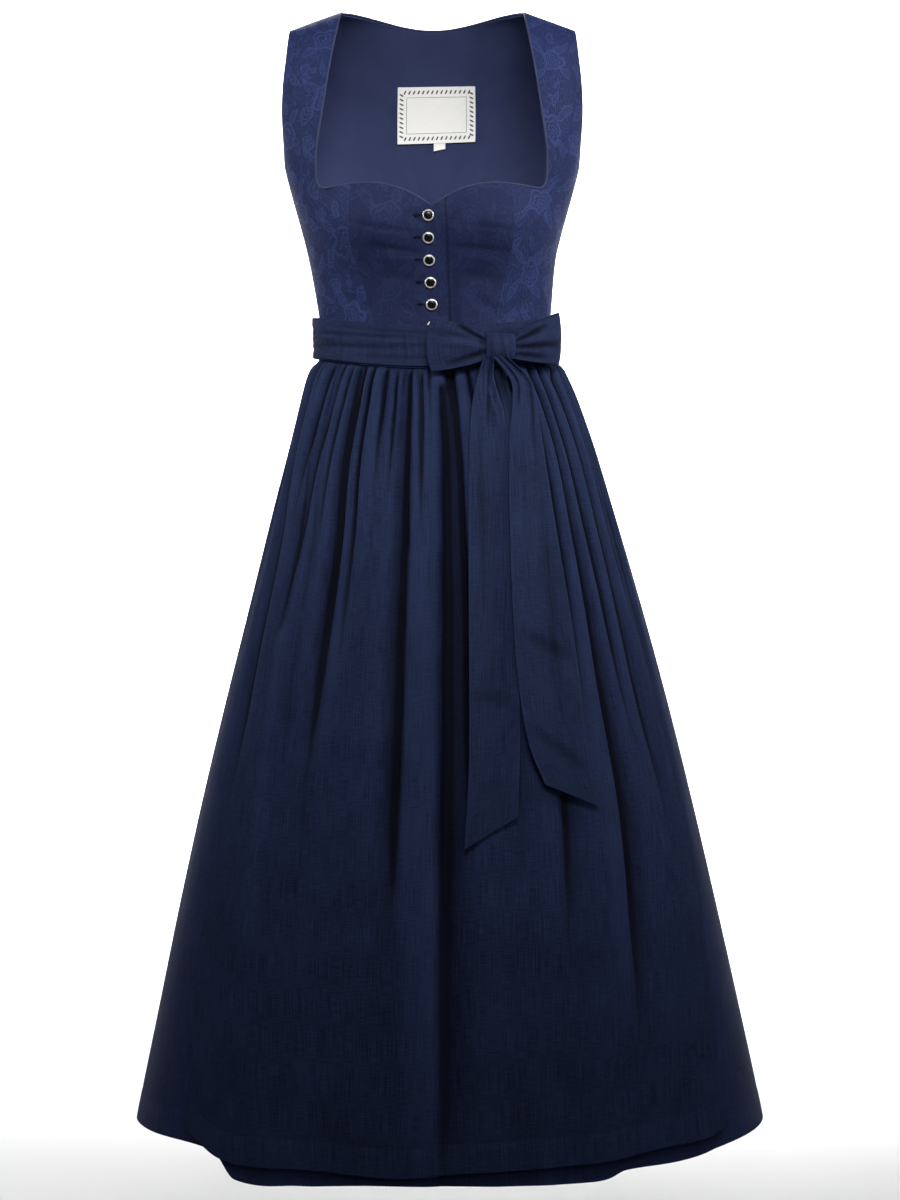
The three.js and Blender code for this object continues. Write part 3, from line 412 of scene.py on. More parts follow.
@dataclass
class Cloth:
    """A piece of cloth as a grid of points on its outer face, with its columns to the left seen from outside.

    The rows run up. Its inner face is the same grid moved in by its wall.
    """

    name: str
    outer: Array
    wall: float
    grain: Grain = Grain.LAID
    marks: dict[str, Array] | None = None
    figured: Array | None = None

    def normals(self) -> Array:
        """Find the outward directions of the outer face."""
        return face_normals(self.outer)

    def pushed(self, distance: Array) -> Cloth:
        """Move the outer face out by a distance for each point."""
        return replace(self, outer=self.outer + self.normals() * distance[..., None])

    def places(self) -> Array:
        """Lay the cloth flat in metres: its own places, or lengths along its rows and its middle column."""
        if self.figured is not None:
            return self.figured * METRE
        rows, columns = self.outer.shape[:2]
        across = run_length(self.outer, 1)
        across -= across[:, columns // 2: columns // 2 + 1]
        if self.grain is Grain.GATHERED:
            across = np.broadcast_to(across[0], across.shape)
        up = np.broadcast_to(run_length(self.outer, 0)[:, columns // 2: columns // 2 + 1], (rows, columns))
        return np.stack([across, up], -1) * METRE

    def cut(self) -> tuple[float, float, float]:
        """Measure the flat piece: its greatest width and length in metres, and its area in square metres."""
        width = max(run_length(self.outer, 1)[:, -1].max() * METRE, LEAST_CUT)
        length = max(run_length(self.outer, 0)[-1].max() * METRE, LEAST_CUT)
        step = self.outer[:-1, :-1] - self.outer[1:, 1:], self.outer[1:, :-1] - self.outer[:-1, 1:]
        area = np.linalg.norm(np.cross(*step), axis=-1).sum() / 2 * METRE ** 2
        whole = width * length
        return float(width), float(length), float(np.clip(area, whole * LEAST_SHARE, whole))

    def line(self, row: int, pitch: float) -> Line:
        """Walk along a row of the grid at even steps."""
        return walked(self.outer[row], self.normals()[row], pitch)

    def build(self, finish: Finish) -> Piece:
        """Make the closed wall: the outer grid, the inner grid, and a strip round their edges."""
        rows, columns = self.outer.shape[:2]
        count = rows * columns
        inner = self.outer - self.normals() * self.wall
        at = np.arange(count).reshape(rows, columns)
        a, b, c, d = at[:-1, :-1], at[:-1, 1:], at[1:, 1:], at[1:, :-1]
        out = np.stack([a, b, c, d], -1).reshape(-1, 4)
        rim = np.concatenate([at[0, :-1], at[:-1, -1], at[-1, :0:-1], at[:0:-1, 0]])
        after = np.roll(rim, -1)
        strip = np.stack([after, rim, rim + count, after + count], -1)
        uv = self.places().reshape(-1, 2)
        marks = {name: np.tile(np.broadcast_to(value, (rows, columns)).ravel(), 2)
                 for name, value in (self.marks or {}).items()}
        return make_object(self.name, np.concatenate([self.outer.reshape(-1, 3), inner.reshape(-1, 3)]),
                           [out, out[:, ::-1] + count, strip], finish, np.tile(uv, (2, 1)), marks)


def hollow(heights: Array, reach: int) -> Array:
    """Find how much each point of a grid lies below the mean of its row's points within a reach."""
    padded = np.pad(heights, ((0, 0), (reach + 1, reach)), mode="edge").cumsum(axis=1)
    mean = (padded[:, 2 * reach + 1:] - padded[:, :-2 * reach - 1]) / (2 * reach + 1)
    return mean - heights


def walked(points: Array, normals: Array, pitch: float) -> Line:
    """Walk a line of points at even steps: the points, their headings and their normals."""
    lengths = run_along(points)
    stops = np.arange(pitch / 2, lengths[-1], pitch)
    place = np.stack([np.interp(stops, lengths, points[:, axis]) for axis in range(3)], -1)
    out = unit(np.stack([np.interp(stops, lengths, normals[:, axis]) for axis in range(3)], -1))
    return place, unit(np.gradient(place, axis=0)), out


def thread_run(name: str, lines: Sequence[Line], length: float, radius: float,
               finish: Finish, slant: float = 0.0) -> Piece:
    """Lay a small rounded stitch at each step of some lines.

    A stitch is a rod of six sides whose radius falls off at both ends, half sunk into the cloth.

    Args:
        name: the object's name.
        lines: for each line its points, headings and outward directions.
        length: a stitch's length.
        radius: a stitch's radius.
        finish: the thread's material.
        slant: the turn of each stitch from the line's heading, in degrees.

    Returns:
        One object with all the stitches.
    """
    centre, heading, out = (np.concatenate(part) for part in zip(*lines))
    side = unit(np.cross(out, heading))
    cos, sin = math.cos(math.radians(slant)), math.sin(math.radians(slant))
    heading, side = heading * cos + side * sin, side * cos - heading * sin
    stations = np.array([-0.5, -0.38, 0.0, 0.38, 0.5])[:, None, None] * length
    radii = np.array([0.35, 0.85, 1.0, 0.85, 0.35])[:, None, None] * radius
    sides = 6
    around = np.arange(sides)[:, None] * 2 * math.pi / sides
    ring = side[:, None, None] * np.cos(around) + out[:, None, None] * np.sin(around)
    points = centre[:, None, None] + heading[:, None, None] * stations + ring * radii
    block = len(stations) * sides
    at = np.arange(block).reshape(len(stations), sides)
    nxt = np.roll(at, -1, axis=1)
    quads = np.stack([at[:-1], at[1:], nxt[1:], nxt[:-1]], -1).reshape(-1, 4)
    caps = np.stack([at[0], at[-1, ::-1]])
    starts = np.arange(len(centre))[:, None, None] * block
    return make_object(name, points.reshape(-1, 3),
                       [(quads + starts).reshape(-1, 4), (caps + starts).reshape(-1, sides)], finish)


def tube(name: str, path: Array, radius: float, finish: Finish) -> Piece:
    """Carry a circle along a path, its frame turned as little as possible, and close both ends.

    Args:
        name: the object's name.
        path: the points of the middle line.
        radius: the circle's radius.
        finish: its material.

    Returns:
        The tube.
    """
    heading = unit(np.gradient(path, axis=0))
    across = np.empty_like(path)
    current = np.array([0.0, 1.0, 0.0])
    for place, way in enumerate(heading):
        current = unit(current - way * (current @ way))
        across[place] = current
    other = np.cross(heading, across)
    sides = 12
    around = np.arange(sides) * 2 * math.pi / sides
    ring = across[:, None] * np.cos(around)[None, :, None] + other[:, None] * np.sin(around)[None, :, None]
    points = path[:, None] + ring * radius
    at = np.arange(len(path) * sides).reshape(len(path), sides)
    nxt = np.roll(at, -1, axis=1)
    quads = np.stack([at[:-1], nxt[:-1], nxt[1:], at[1:]], -1).reshape(-1, 4)
    caps = np.stack([at[0, ::-1], at[-1]])
    uv = np.stack(np.broadcast_arrays(around[None, :] * radius, run_along(path)[:, None]), -1) * METRE
    return make_object(name, points.reshape(-1, 3), [quads, caps], finish, uv.reshape(-1, 2))


def turned(name: str, profile: Sequence[tuple[float, float]], place: Array, axis: Array, finish: Finish,
           ripple: float = 0.0, ripples: int = 0) -> Piece:
    """Turn a profile about an axis: each of its points goes round a circle.

    Args:
        name: the object's name.
        profile: radii and heights from the axis below round to the axis above, or a closed ring.
        place: where the axis starts.
        axis: the axis' direction.
        finish: its material.
        ripple: how much the radius swings round the circle, as a share.
        ripples: how often it swings.

    Returns:
        The turned piece.
    """
    rows = np.array(profile, float)
    closed = bool(np.allclose(rows[0], rows[-1]))
    if closed:
        rows = rows[:-1]
    axis = unit(axis)
    first = unit(np.cross(axis, np.array([1.0, 0.0, 0.0])))
    second = np.cross(axis, first)
    sides = 48
    around = np.arange(sides) * 2 * math.pi / sides
    swing = 1 + ripple * np.cos(around * ripples)
    reach = rows[:, 0:1] * np.where(rows[:, 0:1] >= rows[:, 0].max() * 0.95, swing, 1.0)
    ring = first * np.cos(around)[:, None] + second * np.sin(around)[:, None]
    points = place + axis * rows[:, 1][:, None, None] + ring[None] * reach[..., None]
    at = np.arange(len(rows) * sides).reshape(len(rows), sides)
    below, above = (at, np.roll(at, -1, axis=0)) if closed else (at[:-1], at[1:])
    quads = np.stack([below, np.roll(below, -1, 1), np.roll(above, -1, 1), above], -1).reshape(-1, 4)
    faces = [quads] if closed else [quads, np.stack([at[0, ::-1], at[-1]])]
    return make_object(name, points.reshape(-1, 3), faces, finish)


# Materials.


class Field:
    """A number or vector of a material's formula. Arithmetic on it adds nodes to its tree."""

    def __init__(self, tree: bpy.types.NodeTree, socket: Socket | float) -> None:
        """Hold a socket, or a plain number, of a tree."""
        self.tree = tree
        self.socket = socket

    def plug(self, target: Socket) -> None:
        """Feed a node's input with this value."""
        if isinstance(self.socket, (int, float)):
            target.default_value = float(self.socket)
        else:
            self.tree.links.new(self.socket, target)

    def math(self, operation: str, *others: Field | float) -> Field:
        """Work out an operation of a math node.

        Args:
            operation: the node's name for it.
            others: what it works on beside this value.

        Returns:
            The result.
        """
        node = self.tree.nodes.new("ShaderNodeMath")
        node.operation = operation
        for target, value in zip(node.inputs, (self, *others)):
            (value if isinstance(value, Field) else Field(self.tree, value)).plug(target)
        return Field(self.tree, node.outputs[0])

    def __add__(self, other: Field | float) -> Field:
        """Add."""
        return self.math("ADD", other)

    def __sub__(self, other: Field | float) -> Field:
        """Subtract."""
        return self.math("SUBTRACT", other)

    def __mul__(self, other: Field | float) -> Field:
        """Multiply."""
        return self.math("MULTIPLY", other)

    def __rsub__(self, other: float) -> Field:
        """Subtract from a number."""
        return Field(self.tree, other).math("SUBTRACT", self)

    def clamped(self, high: float) -> Field:
        """Keep the value between 0 and high."""
        return self.math("MAXIMUM", 0.0).math("MINIMUM", high)

    def step(self, low: float, high: float) -> Field:
        """Rise smoothly from 0 to 1.

        Args:
            low: the value at which it starts.
            high: the value at which it is complete. Where low is the greater, it falls from 1 to 0 instead.

        Returns:
            The step.
        """
        node = self.tree.nodes.new("ShaderNodeMapRange")
        node.interpolation_type = "SMOOTHSTEP"
        rising = low < high
        for name, value in (("From Min", min(low, high)), ("From Max", max(low, high)),
                            ("To Min", 0.0 if rising else 1.0), ("To Max", 1.0 if rising else 0.0)):
            node.inputs[name].default_value = value
        self.plug(node.inputs["Value"])
        return Field(self.tree, node.outputs["Result"])


class Recipe:
    """The node tree of one material, with the few kinds of node that the finishes use."""

    def __init__(self, name: str) -> None:
        """Start a material with a Principled shader."""
        self.material = bpy.data.materials.new(name)
        self.material.use_nodes = True
        self.tree = self.material.node_tree
        self.shader = self.tree.nodes["Principled BSDF"]

    def set(self, **values: float | tuple[float, ...]) -> None:
        """Set the shader's own sockets. An underscore stands for a space."""
        for name, value in values.items():
            self.shader.inputs[name.replace("_", " ")].default_value = value

    def cloth(self) -> tuple[Field, Field]:
        """Read the place on the cloth, in millimetres."""
        node = self.tree.nodes.new("ShaderNodeUVMap")
        node.uv_map = "Cloth"
        parts = self.tree.nodes.new("ShaderNodeSeparateXYZ")
        self.tree.links.new(node.outputs[0], parts.inputs[0])
        return Field(self.tree, parts.outputs[0]) * 1000.0, Field(self.tree, parts.outputs[1]) * 1000.0

    def place(self) -> tuple[Field, Field, Field]:
        """Read the place in space, in millimetres."""
        node = self.tree.nodes.new("ShaderNodeTexCoord")
        parts = self.tree.nodes.new("ShaderNodeSeparateXYZ")
        self.tree.links.new(node.outputs["Object"], parts.inputs[0])
        return tuple(Field(self.tree, output) * 1000.0 for output in parts.outputs)

    def mark(self, name: str) -> Field:
        """Read a piece's own attribute, 0 where it has none."""
        node = self.tree.nodes.new("ShaderNodeAttribute")
        node.attribute_name = name
        return Field(self.tree, node.outputs["Fac"])

    def noise(self, x: Field, y: Field, z: Field | float = 0.0, detail: float = 2.0) -> Field:
        """Read cloudy noise with a spot size of about 1.

        Args:
            x: the first coordinate of the place.
            y: the second.
            z: the third, or a number that gives this noise a start of its own.
            detail: how many finer layers it has.

        Returns:
            The noise, about 0.5 in the mean.
        """
        join = self.tree.nodes.new("ShaderNodeCombineXYZ")
        for target, value in zip(join.inputs, (x, y, z)):
            (value if isinstance(value, Field) else Field(self.tree, value)).plug(target)
        node = self.tree.nodes.new("ShaderNodeTexNoise")
        node.inputs["Scale"].default_value = 1.0
        node.inputs["Detail"].default_value = detail
        self.tree.links.new(join.outputs[0], node.inputs["Vector"])
        return Field(self.tree, node.outputs["Fac"])

    def spots(self, rate: float, detail: float) -> Field:
        """Read noise in space, with a rate for spots per millimetre."""
        x, y, z = self.place()
        return self.noise(x * rate, y * rate, z * rate, detail)

    def weave(self, u: Field, v: Field, thread: float) -> Field:
        """Cross a sine along the cloth with one across it, at the thread's pitch."""
        turn = 2 * math.pi / thread
        return (u * turn).math("SINE") * (v * turn).math("SINE")

    def blend(self, share: Field, low: Colour | Socket, high: Colour) -> Socket:
        """Blend two colours, given as sRGB numbers of 0 to 255.

        Args:
            share: how much of the second one.
            low: the first one, or the output of an earlier blend.
            high: the second one.

        Returns:
            The output with the blended colour.
        """
        node = self.tree.nodes.new("ShaderNodeMix")
        node.data_type = "RGBA"
        share.plug(node.inputs["Factor"])
        colours = [socket for socket in node.inputs if socket.type == "RGBA"]
        if isinstance(low, tuple):
            colours[0].default_value = linear(low)
        else:
            self.tree.links.new(low, colours[0])
        colours[1].default_value = linear(high)
        return next(socket for socket in node.outputs if socket.type == "RGBA")

    def colour(self, socket: Socket) -> None:
        """Feed the base colour."""
        self.tree.links.new(socket, self.shader.inputs["Base Color"])

    def roughness(self, value: Field) -> None:
        """Feed the roughness."""
        value.plug(self.shader.inputs["Roughness"])

    def relief(self, height: Field, depth: float, strength: float) -> None:
        """Raise the surface.

        Args:
            height: the height, from 0 to 1.
            depth: what it is multiplied by, in millimetres.
            strength: how strongly it shows, from 0 to 1.
        """
        node = self.tree.nodes.new("ShaderNodeBump")
        node.inputs["Strength"].default_value = strength
        node.inputs["Distance"].default_value = depth * METRE
        height.plug(node.inputs["Height"])
        self.tree.links.new(node.outputs[0], self.shader.inputs["Normal"])


def linear(colour: Colour) -> tuple[float, float, float, float]:
    """Turn an sRGB colour of 0 to 255 into a linear one."""
    shares = [value / 255 for value in colour]
    return (*(s / 12.92 if s <= 0.04045 else ((s + 0.055) / 1.055) ** 2.4 for s in shares), 1.0)


@dataclass(frozen=True)
class Finish:
    """A finish that makes its material once."""

    name: str

    def material(self) -> bpy.types.Material:
        """Return the finish's material, made at its first use."""
        return bpy.data.materials.get(self.name) or self.make()

    def make(self) -> bpy.types.Material:
        """Make the material."""
        raise NotImplementedError


@dataclass(frozen=True)
class WovenFinish(Finish):
    """A plain weave of uneven threads both ways, with painted shade in deep folds and painted highlight at
    turned hems and ridges.
    """

    dark: Colour
    light: Colour
    thread: float = 0.55
    slub: float = 1.0
    rough: float = 0.75
    sheen: float = 0.06
    sheen_rough: float = 0.4
    tint: Colour = (130, 150, 220)
    # The colour of the painted shade in folds, and how much of it the deepest fold mark gives.
    shade: Colour = (6, 8, 15)
    shaded: float = 0.9
    raised: float = 0.22
    specular: float = 0.05

    def make(self) -> bpy.types.Material:
        """Mix the two colours by long thin noise along both threads and clouds, with painted highlight at hems
        and painted shade in folds.
        """
        recipe = Recipe(self.name)
        u, v = recipe.cloth()
        warp = recipe.noise(u * (1 / 0.9), v * (1 / 36.0), detail=3.0)
        weft = recipe.noise(u * (1 / 13.0), v * (1 / 0.8), 7.0, detail=3.0)
        cloud = recipe.noise(u * (1 / 45.0), v * (1 / 60.0), 3.0)
        tone = (warp - 0.5) * (1.4 * self.slub) + (weft - 0.5) * (1.2 * self.slub) + (cloud - 0.5) * 0.5 + 0.5
        # Painted highlight: the hem mark lightens turned hems and ridges.
        tone = (tone + recipe.mark("hem") * 0.3).clamped(1.4)
        cloth = recipe.blend(tone, self.dark, self.light)
        # Painted shade: the fold mark blends the cloth towards the shade colour in creases and hollows.
        recipe.colour(recipe.blend(recipe.mark("fold") * self.shaded, cloth, self.shade))
        height = recipe.weave(u, v, self.thread) * 0.3 + warp * 0.9 * self.slub + weft * 0.7 * self.slub
        recipe.relief(height, self.raised, 0.5)
        recipe.roughness(warp * 0.1 + (self.rough - 0.05))
        recipe.set(Sheen_Weight=self.sheen, Sheen_Roughness=self.sheen_rough, Sheen_Tint=linear(self.tint),
                   Specular_IOR_Level=self.specular)
        return recipe.material


@dataclass(frozen=True)
class FiguredFinish(Finish):
    """A tone-on-tone figured weave: roses, leaves and curling lines of lighter floats on a darker ground."""

    ground: Colour
    figure: Colour
    width: float = 58.0
    height: float = 74.0
    wander: float = 26.0
    thread: float = 0.6
    rough: float = 0.7
    sheen: float = 0.08
    sheen_rough: float = 0.35
    tint: Colour = (120, 145, 230)
    # The colour of the painted shade in creases, and how much of it the deepest fold mark gives.
    shade: Colour = (8, 11, 22)
    shaded: float = 0.6
    raised: float = 0.25
    specular: float = 0.07
    petals: float = 5.0
    ring_pitch: float = 4.4
    vein_pitch: float = 3.8

    # Roses by their middle and radius, and leaves by their middle, turn, half length and half width.
    roses: tuple[tuple[float, ...], ...] = ((3.0, -6.0, 15.0), (-19.0, 24.0, 8.0))
    leaves: tuple[tuple[float, ...], ...] = (
        (17.0, 14.0, 0.9, 13.0, 5.0), (-14.0, 12.0, 2.3, 12.0, 4.6), (20.0, -22.0, -0.6, 12.0, 4.8),
        (-19.0, -22.0, 3.9, 13.0, 5.0), (4.0, 27.0, 1.7, 9.0, 3.8),
    )

    def rose(self, x: Field, y: Field, radius: float) -> Field:
        """Draw a rose: rings whose radius swings with the angle, cut off at the outer petals.

        Args:
            x: the place across, from the rose's middle.
            y: the place up.
            radius: the rose's radius.

        Returns:
            1 on its lines and 0 beside them.
        """
        reach = (x * x + y * y).math("SQRT")
        angle = y.math("ARCTAN2", x)
        swing = (angle * (self.petals / 2)).math("COSINE").math("ABSOLUTE")
        edge = swing * (0.26 * radius) + 0.78 * radius
        inside = (edge - reach).step(0.0, 0.9)
        rings = ((reach - swing * 3.0) * (2 * math.pi / self.ring_pitch)).math("SINE").step(0.0, 0.7)
        rim = (edge - reach - 0.6).math("ABSOLUTE").step(1.0, 0.4)
        return (inside * rings).math("MAXIMUM", rim)

    def leaf(self, x: Field, y: Field, turn: float, long: float, wide: float) -> Field:
        """Draw a leaf: a drop between two arcs, with a bare middle vein and slanting side veins.

        Args:
            x: the place across, from the leaf's middle.
            y: the place up.
            turn: the angle of its middle vein.
            long: half its length.
            wide: half its width.

        Returns:
            1 on its lines and 0 beside them.
        """
        cos, sin = math.cos(turn), math.sin(turn)
        along = x * cos + y * sin
        beside = (y * cos - x * sin).math("ABSOLUTE")
        share = along * (1 / long)
        half = (1.0 - share * share).math("MAXIMUM", 0.0) * wide
        inside = (half - beside).step(0.0, 0.7)
        rim = (half - beside - 0.5).math("ABSOLUTE").step(0.9, 0.4)
        veins = ((along + beside * 1.1) * (2 * math.pi / self.vein_pitch)).math("SINE").step(-0.1, 0.6)
        return (inside * veins * 0.8).math("MAXIMUM", rim * (half * 2.0).math("MINIMUM", 1.0))

    def make(self) -> bpy.types.Material:
        """Repeat the figure in a half-drop lattice whose lines wander with a slow noise."""
        recipe = Recipe(self.name)
        u, v = recipe.cloth()
        slow_u, slow_v = u * (1 / 30.0), v * (1 / 30.0)
        bend_u, bend_v = (recipe.noise(slow_u, slow_v, start, 1.0) - 0.5 for start in (1.0, 9.0))
        fine = recipe.noise(u * (1 / 5.0), v * (1 / 5.0), 4.0, 1.0) - 0.5
        across = (u + bend_u * self.wander + fine * 3.0) * (1 / self.width)
        up = (v + bend_v * self.wander + fine * 2.0) * (1 / self.height) + across.math("FLOOR") * 0.5
        x = (across.math("FRACT") - 0.5) * self.width
        y = (up.math("FRACT") - 0.5) * self.height
        curl = recipe.noise(u * (1 / 17.0), v * (1 / 22.0), 2.0, 1.0)
        figure = (curl * 30.0).math("SINE").math("ABSOLUTE").step(0.36, 0.12) * 0.75
        for off, rise, radius in self.roses:
            figure = figure.math("MAXIMUM", self.rose(x - off, y - rise, radius))
        for off, rise, turn, long, wide in self.leaves:
            figure = figure.math("MAXIMUM", self.leaf(x - off, y - rise, turn, long, wide))
        wear_and_crease_shade = recipe.noise(u * (1 / 38.0), v * (1 / 46.0), 5.0)
        grain = recipe.noise(u * (1 / 0.9), v * (1 / 9.0), 6.0)
        tone = figure * (wear_and_crease_shade * 0.9 + 0.3) + (wear_and_crease_shade - 0.5) * 0.3 + (grain - 0.5) * 0.7 + 0.1
        cloth = recipe.blend(tone.clamped(1.3), self.ground, self.figure)
        # Painted shade: the fold mark blends the cloth towards the shade colour in the creases.
        recipe.colour(recipe.blend(recipe.mark("fold") * self.shaded, cloth, self.shade))
        recipe.relief(figure * 0.6 + recipe.weave(u, v, self.thread) * 0.15 + grain * 0.4, self.raised, 0.45)
        recipe.roughness(self.rough - figure * 0.12)
        recipe.set(Sheen_Weight=self.sheen, Sheen_Roughness=self.sheen_rough, Sheen_Tint=linear(self.tint),
                   Specular_IOR_Level=self.specular)
        return recipe.material


@dataclass(frozen=True)
class ThreadFinish(Finish):
    """Sewing thread, matt, with a slight variation along it."""

    colour: Colour
    rough: float = 0.55
    dark_share: float = 0.72

    def make(self) -> bpy.types.Material:
        """Shade the colour with small spots of noise."""
        recipe = Recipe(self.name)
        spots = recipe.spots(0.8, 1.0)
        dark = tuple(value * self.dark_share for value in self.colour)
        recipe.colour(recipe.blend(spots, dark, self.colour))
        recipe.roughness(spots * 0.1 + self.rough)
        recipe.set(Sheen_Weight=0.02, Specular_IOR_Level=0.08)
        return recipe.material


@dataclass(frozen=True)
class MetalFinish(Finish):
    """Silver-coloured cast metal with fine scratches."""

    colour: Colour
    rough: float = 0.26
    dark_share: float = 0.8

    def make(self) -> bpy.types.Material:
        """Vary roughness and relief with fine noise on polished metal."""
        recipe = Recipe(self.name)
        wear_and_crease_shade = recipe.spots(1.6, 3.0)
        dark = tuple(value * self.dark_share for value in self.colour)
        recipe.colour(recipe.blend(wear_and_crease_shade, dark, self.colour))
        recipe.roughness(wear_and_crease_shade * 0.2 + self.rough)
        recipe.relief(wear_and_crease_shade, 0.05, 0.3)
        recipe.set(Metallic=0.7)
        return recipe.material


@dataclass(frozen=True)
class StoneFinish(Finish):
    """A polished black stone with a faint cloud in it."""

    dark: Colour = (5, 5, 6)
    light: Colour = (14, 14, 17)

    def make(self) -> bpy.types.Material:
        """Mix two near blacks under a clear polish."""
        recipe = Recipe(self.name)
        cloud = recipe.spots(0.5, 2.0)
        recipe.colour(recipe.blend(cloud, self.dark, self.light))
        recipe.roughness(cloud * 0.06 + 0.2)
        recipe.set(Specular_IOR_Level=0.22)
        return recipe.material


@dataclass(frozen=True)
class LabelFinish(Finish):
    """Dense ivory satin ribbon with a fine cross weave."""

    dark: Colour = (202, 201, 196)
    light: Colour = (231, 230, 226)

    def make(self) -> bpy.types.Material:
        """Mix two ivories by the threads both ways."""
        recipe = Recipe(self.name)
        u, v = recipe.cloth()
        warp = recipe.noise(u * (1 / 0.5), v * (1 / 7.0))
        weft = recipe.noise(u * (1 / 8.0), v * (1 / 0.5), 4.0)
        recipe.colour(recipe.blend(warp * 0.5 + weft * 0.5, self.dark, self.light))
        recipe.relief(warp + weft, 0.08, 0.4)
        recipe.roughness(weft * 0.1 + 0.6)
        recipe.set(Sheen_Weight=0.2, Specular_IOR_Level=0.3)
        return recipe.material


@dataclass(frozen=True)
class StageFinish(Finish):
    """A matt pale floor and backdrop."""

    dark: Colour = (243, 243, 243)
    light: Colour = (250, 250, 250)

    def make(self) -> bpy.types.Material:
        """Shade a matt pale colour with a very faint cloud."""
        recipe = Recipe(self.name)
        recipe.colour(recipe.blend(recipe.spots(0.002, 2.0), self.dark, self.light))
        recipe.set(Roughness=0.9, Specular_IOR_Level=0.1)
        return recipe.material


# The side fronts take the lighter figured cloth and the centre fronts the fainter one: partly a bolder figure,
# partly painted sheen where the sides turn away from the front.
FIGURED = FiguredFinish("figured_navy", (28, 35, 66), (43, 54, 95))
FAINT_FIGURED = FiguredFinish("figured_navy_faint", (26, 32, 60), (33, 41, 73))
LINING = WovenFinish("lining_navy", (36, 42, 70), (53, 60, 92), slub=0.3, rough=0.8, sheen=0.1, thread=0.4)
SKIRT_CLOTH = WovenFinish("skirt_navy", (13, 19, 41), (34, 45, 80))
APRON_CLOTH = WovenFinish("apron_navy", (12, 18, 37), (35, 45, 75), slub=1.1)
TIE_CLOTH = WovenFinish("tie_navy", (14, 20, 39), (37, 47, 77), slub=1.0)
PIPING = WovenFinish("piping_satin", (38, 43, 66), (60, 66, 90), slub=0.3, rough=0.5, sheen=0.1)
NAVY_THREAD = ThreadFinish("navy_thread", (24, 31, 54))
DARK_THREAD = ThreadFinish("dark_thread", (9, 12, 27))
GREY_THREAD = ThreadFinish("grey_thread", (92, 94, 96))
PALE_THREAD = ThreadFinish("pale_thread", (160, 162, 158))
SILVER = MetalFinish("silver_metal", (246, 244, 238))
STONE = StoneFinish("black_stone")
RIBBON = LabelFinish("ivory_ribbon")
PALE = StageFinish("pale_stage")


class Slot(Enum):
    """The material slots."""

    BODICE = "bodice_cloth"
    LINING = "lining_cloth"
    PIPING = "piping_cloth"
    LABEL = "label_cloth"
    METAL = "button_metal"
    STONE = "button_stone"
    SKIRT = "skirt_cloth"
    APRON = "apron_cloth"
    TIE = "tie_cloth"


class Held(Enum):
    """How a sheet of cloth is held."""

    STRETCHED = "stretched"
    GATHERED = "gathered"
    FOLDED = "folded"
    HUNG = "hung"
    LAID = "laid"


def settle(made: Piece, slot: Slot, *nodes: str) -> Piece:
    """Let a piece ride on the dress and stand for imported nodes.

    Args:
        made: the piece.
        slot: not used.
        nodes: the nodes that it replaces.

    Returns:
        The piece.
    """
    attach(made, "root")
    if nodes:
        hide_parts(*nodes)
    log.info("%s: %d faces", made.name, len(made.data.polygons))
    return made


def settle_cloth(cloth: Cloth, finish: Finish, slot: Slot) -> None:
    """Build a cloth piece, let it stand for the node that its name starts with, and measure its cut.

    Args:
        cloth: the piece.
        finish: its material.
        slot: its material slot.
    """
    made = settle(cloth.build(finish), slot, cloth.name.rsplit("_", 1)[0])
    width, length, area = cloth.cut()


# The bodice.


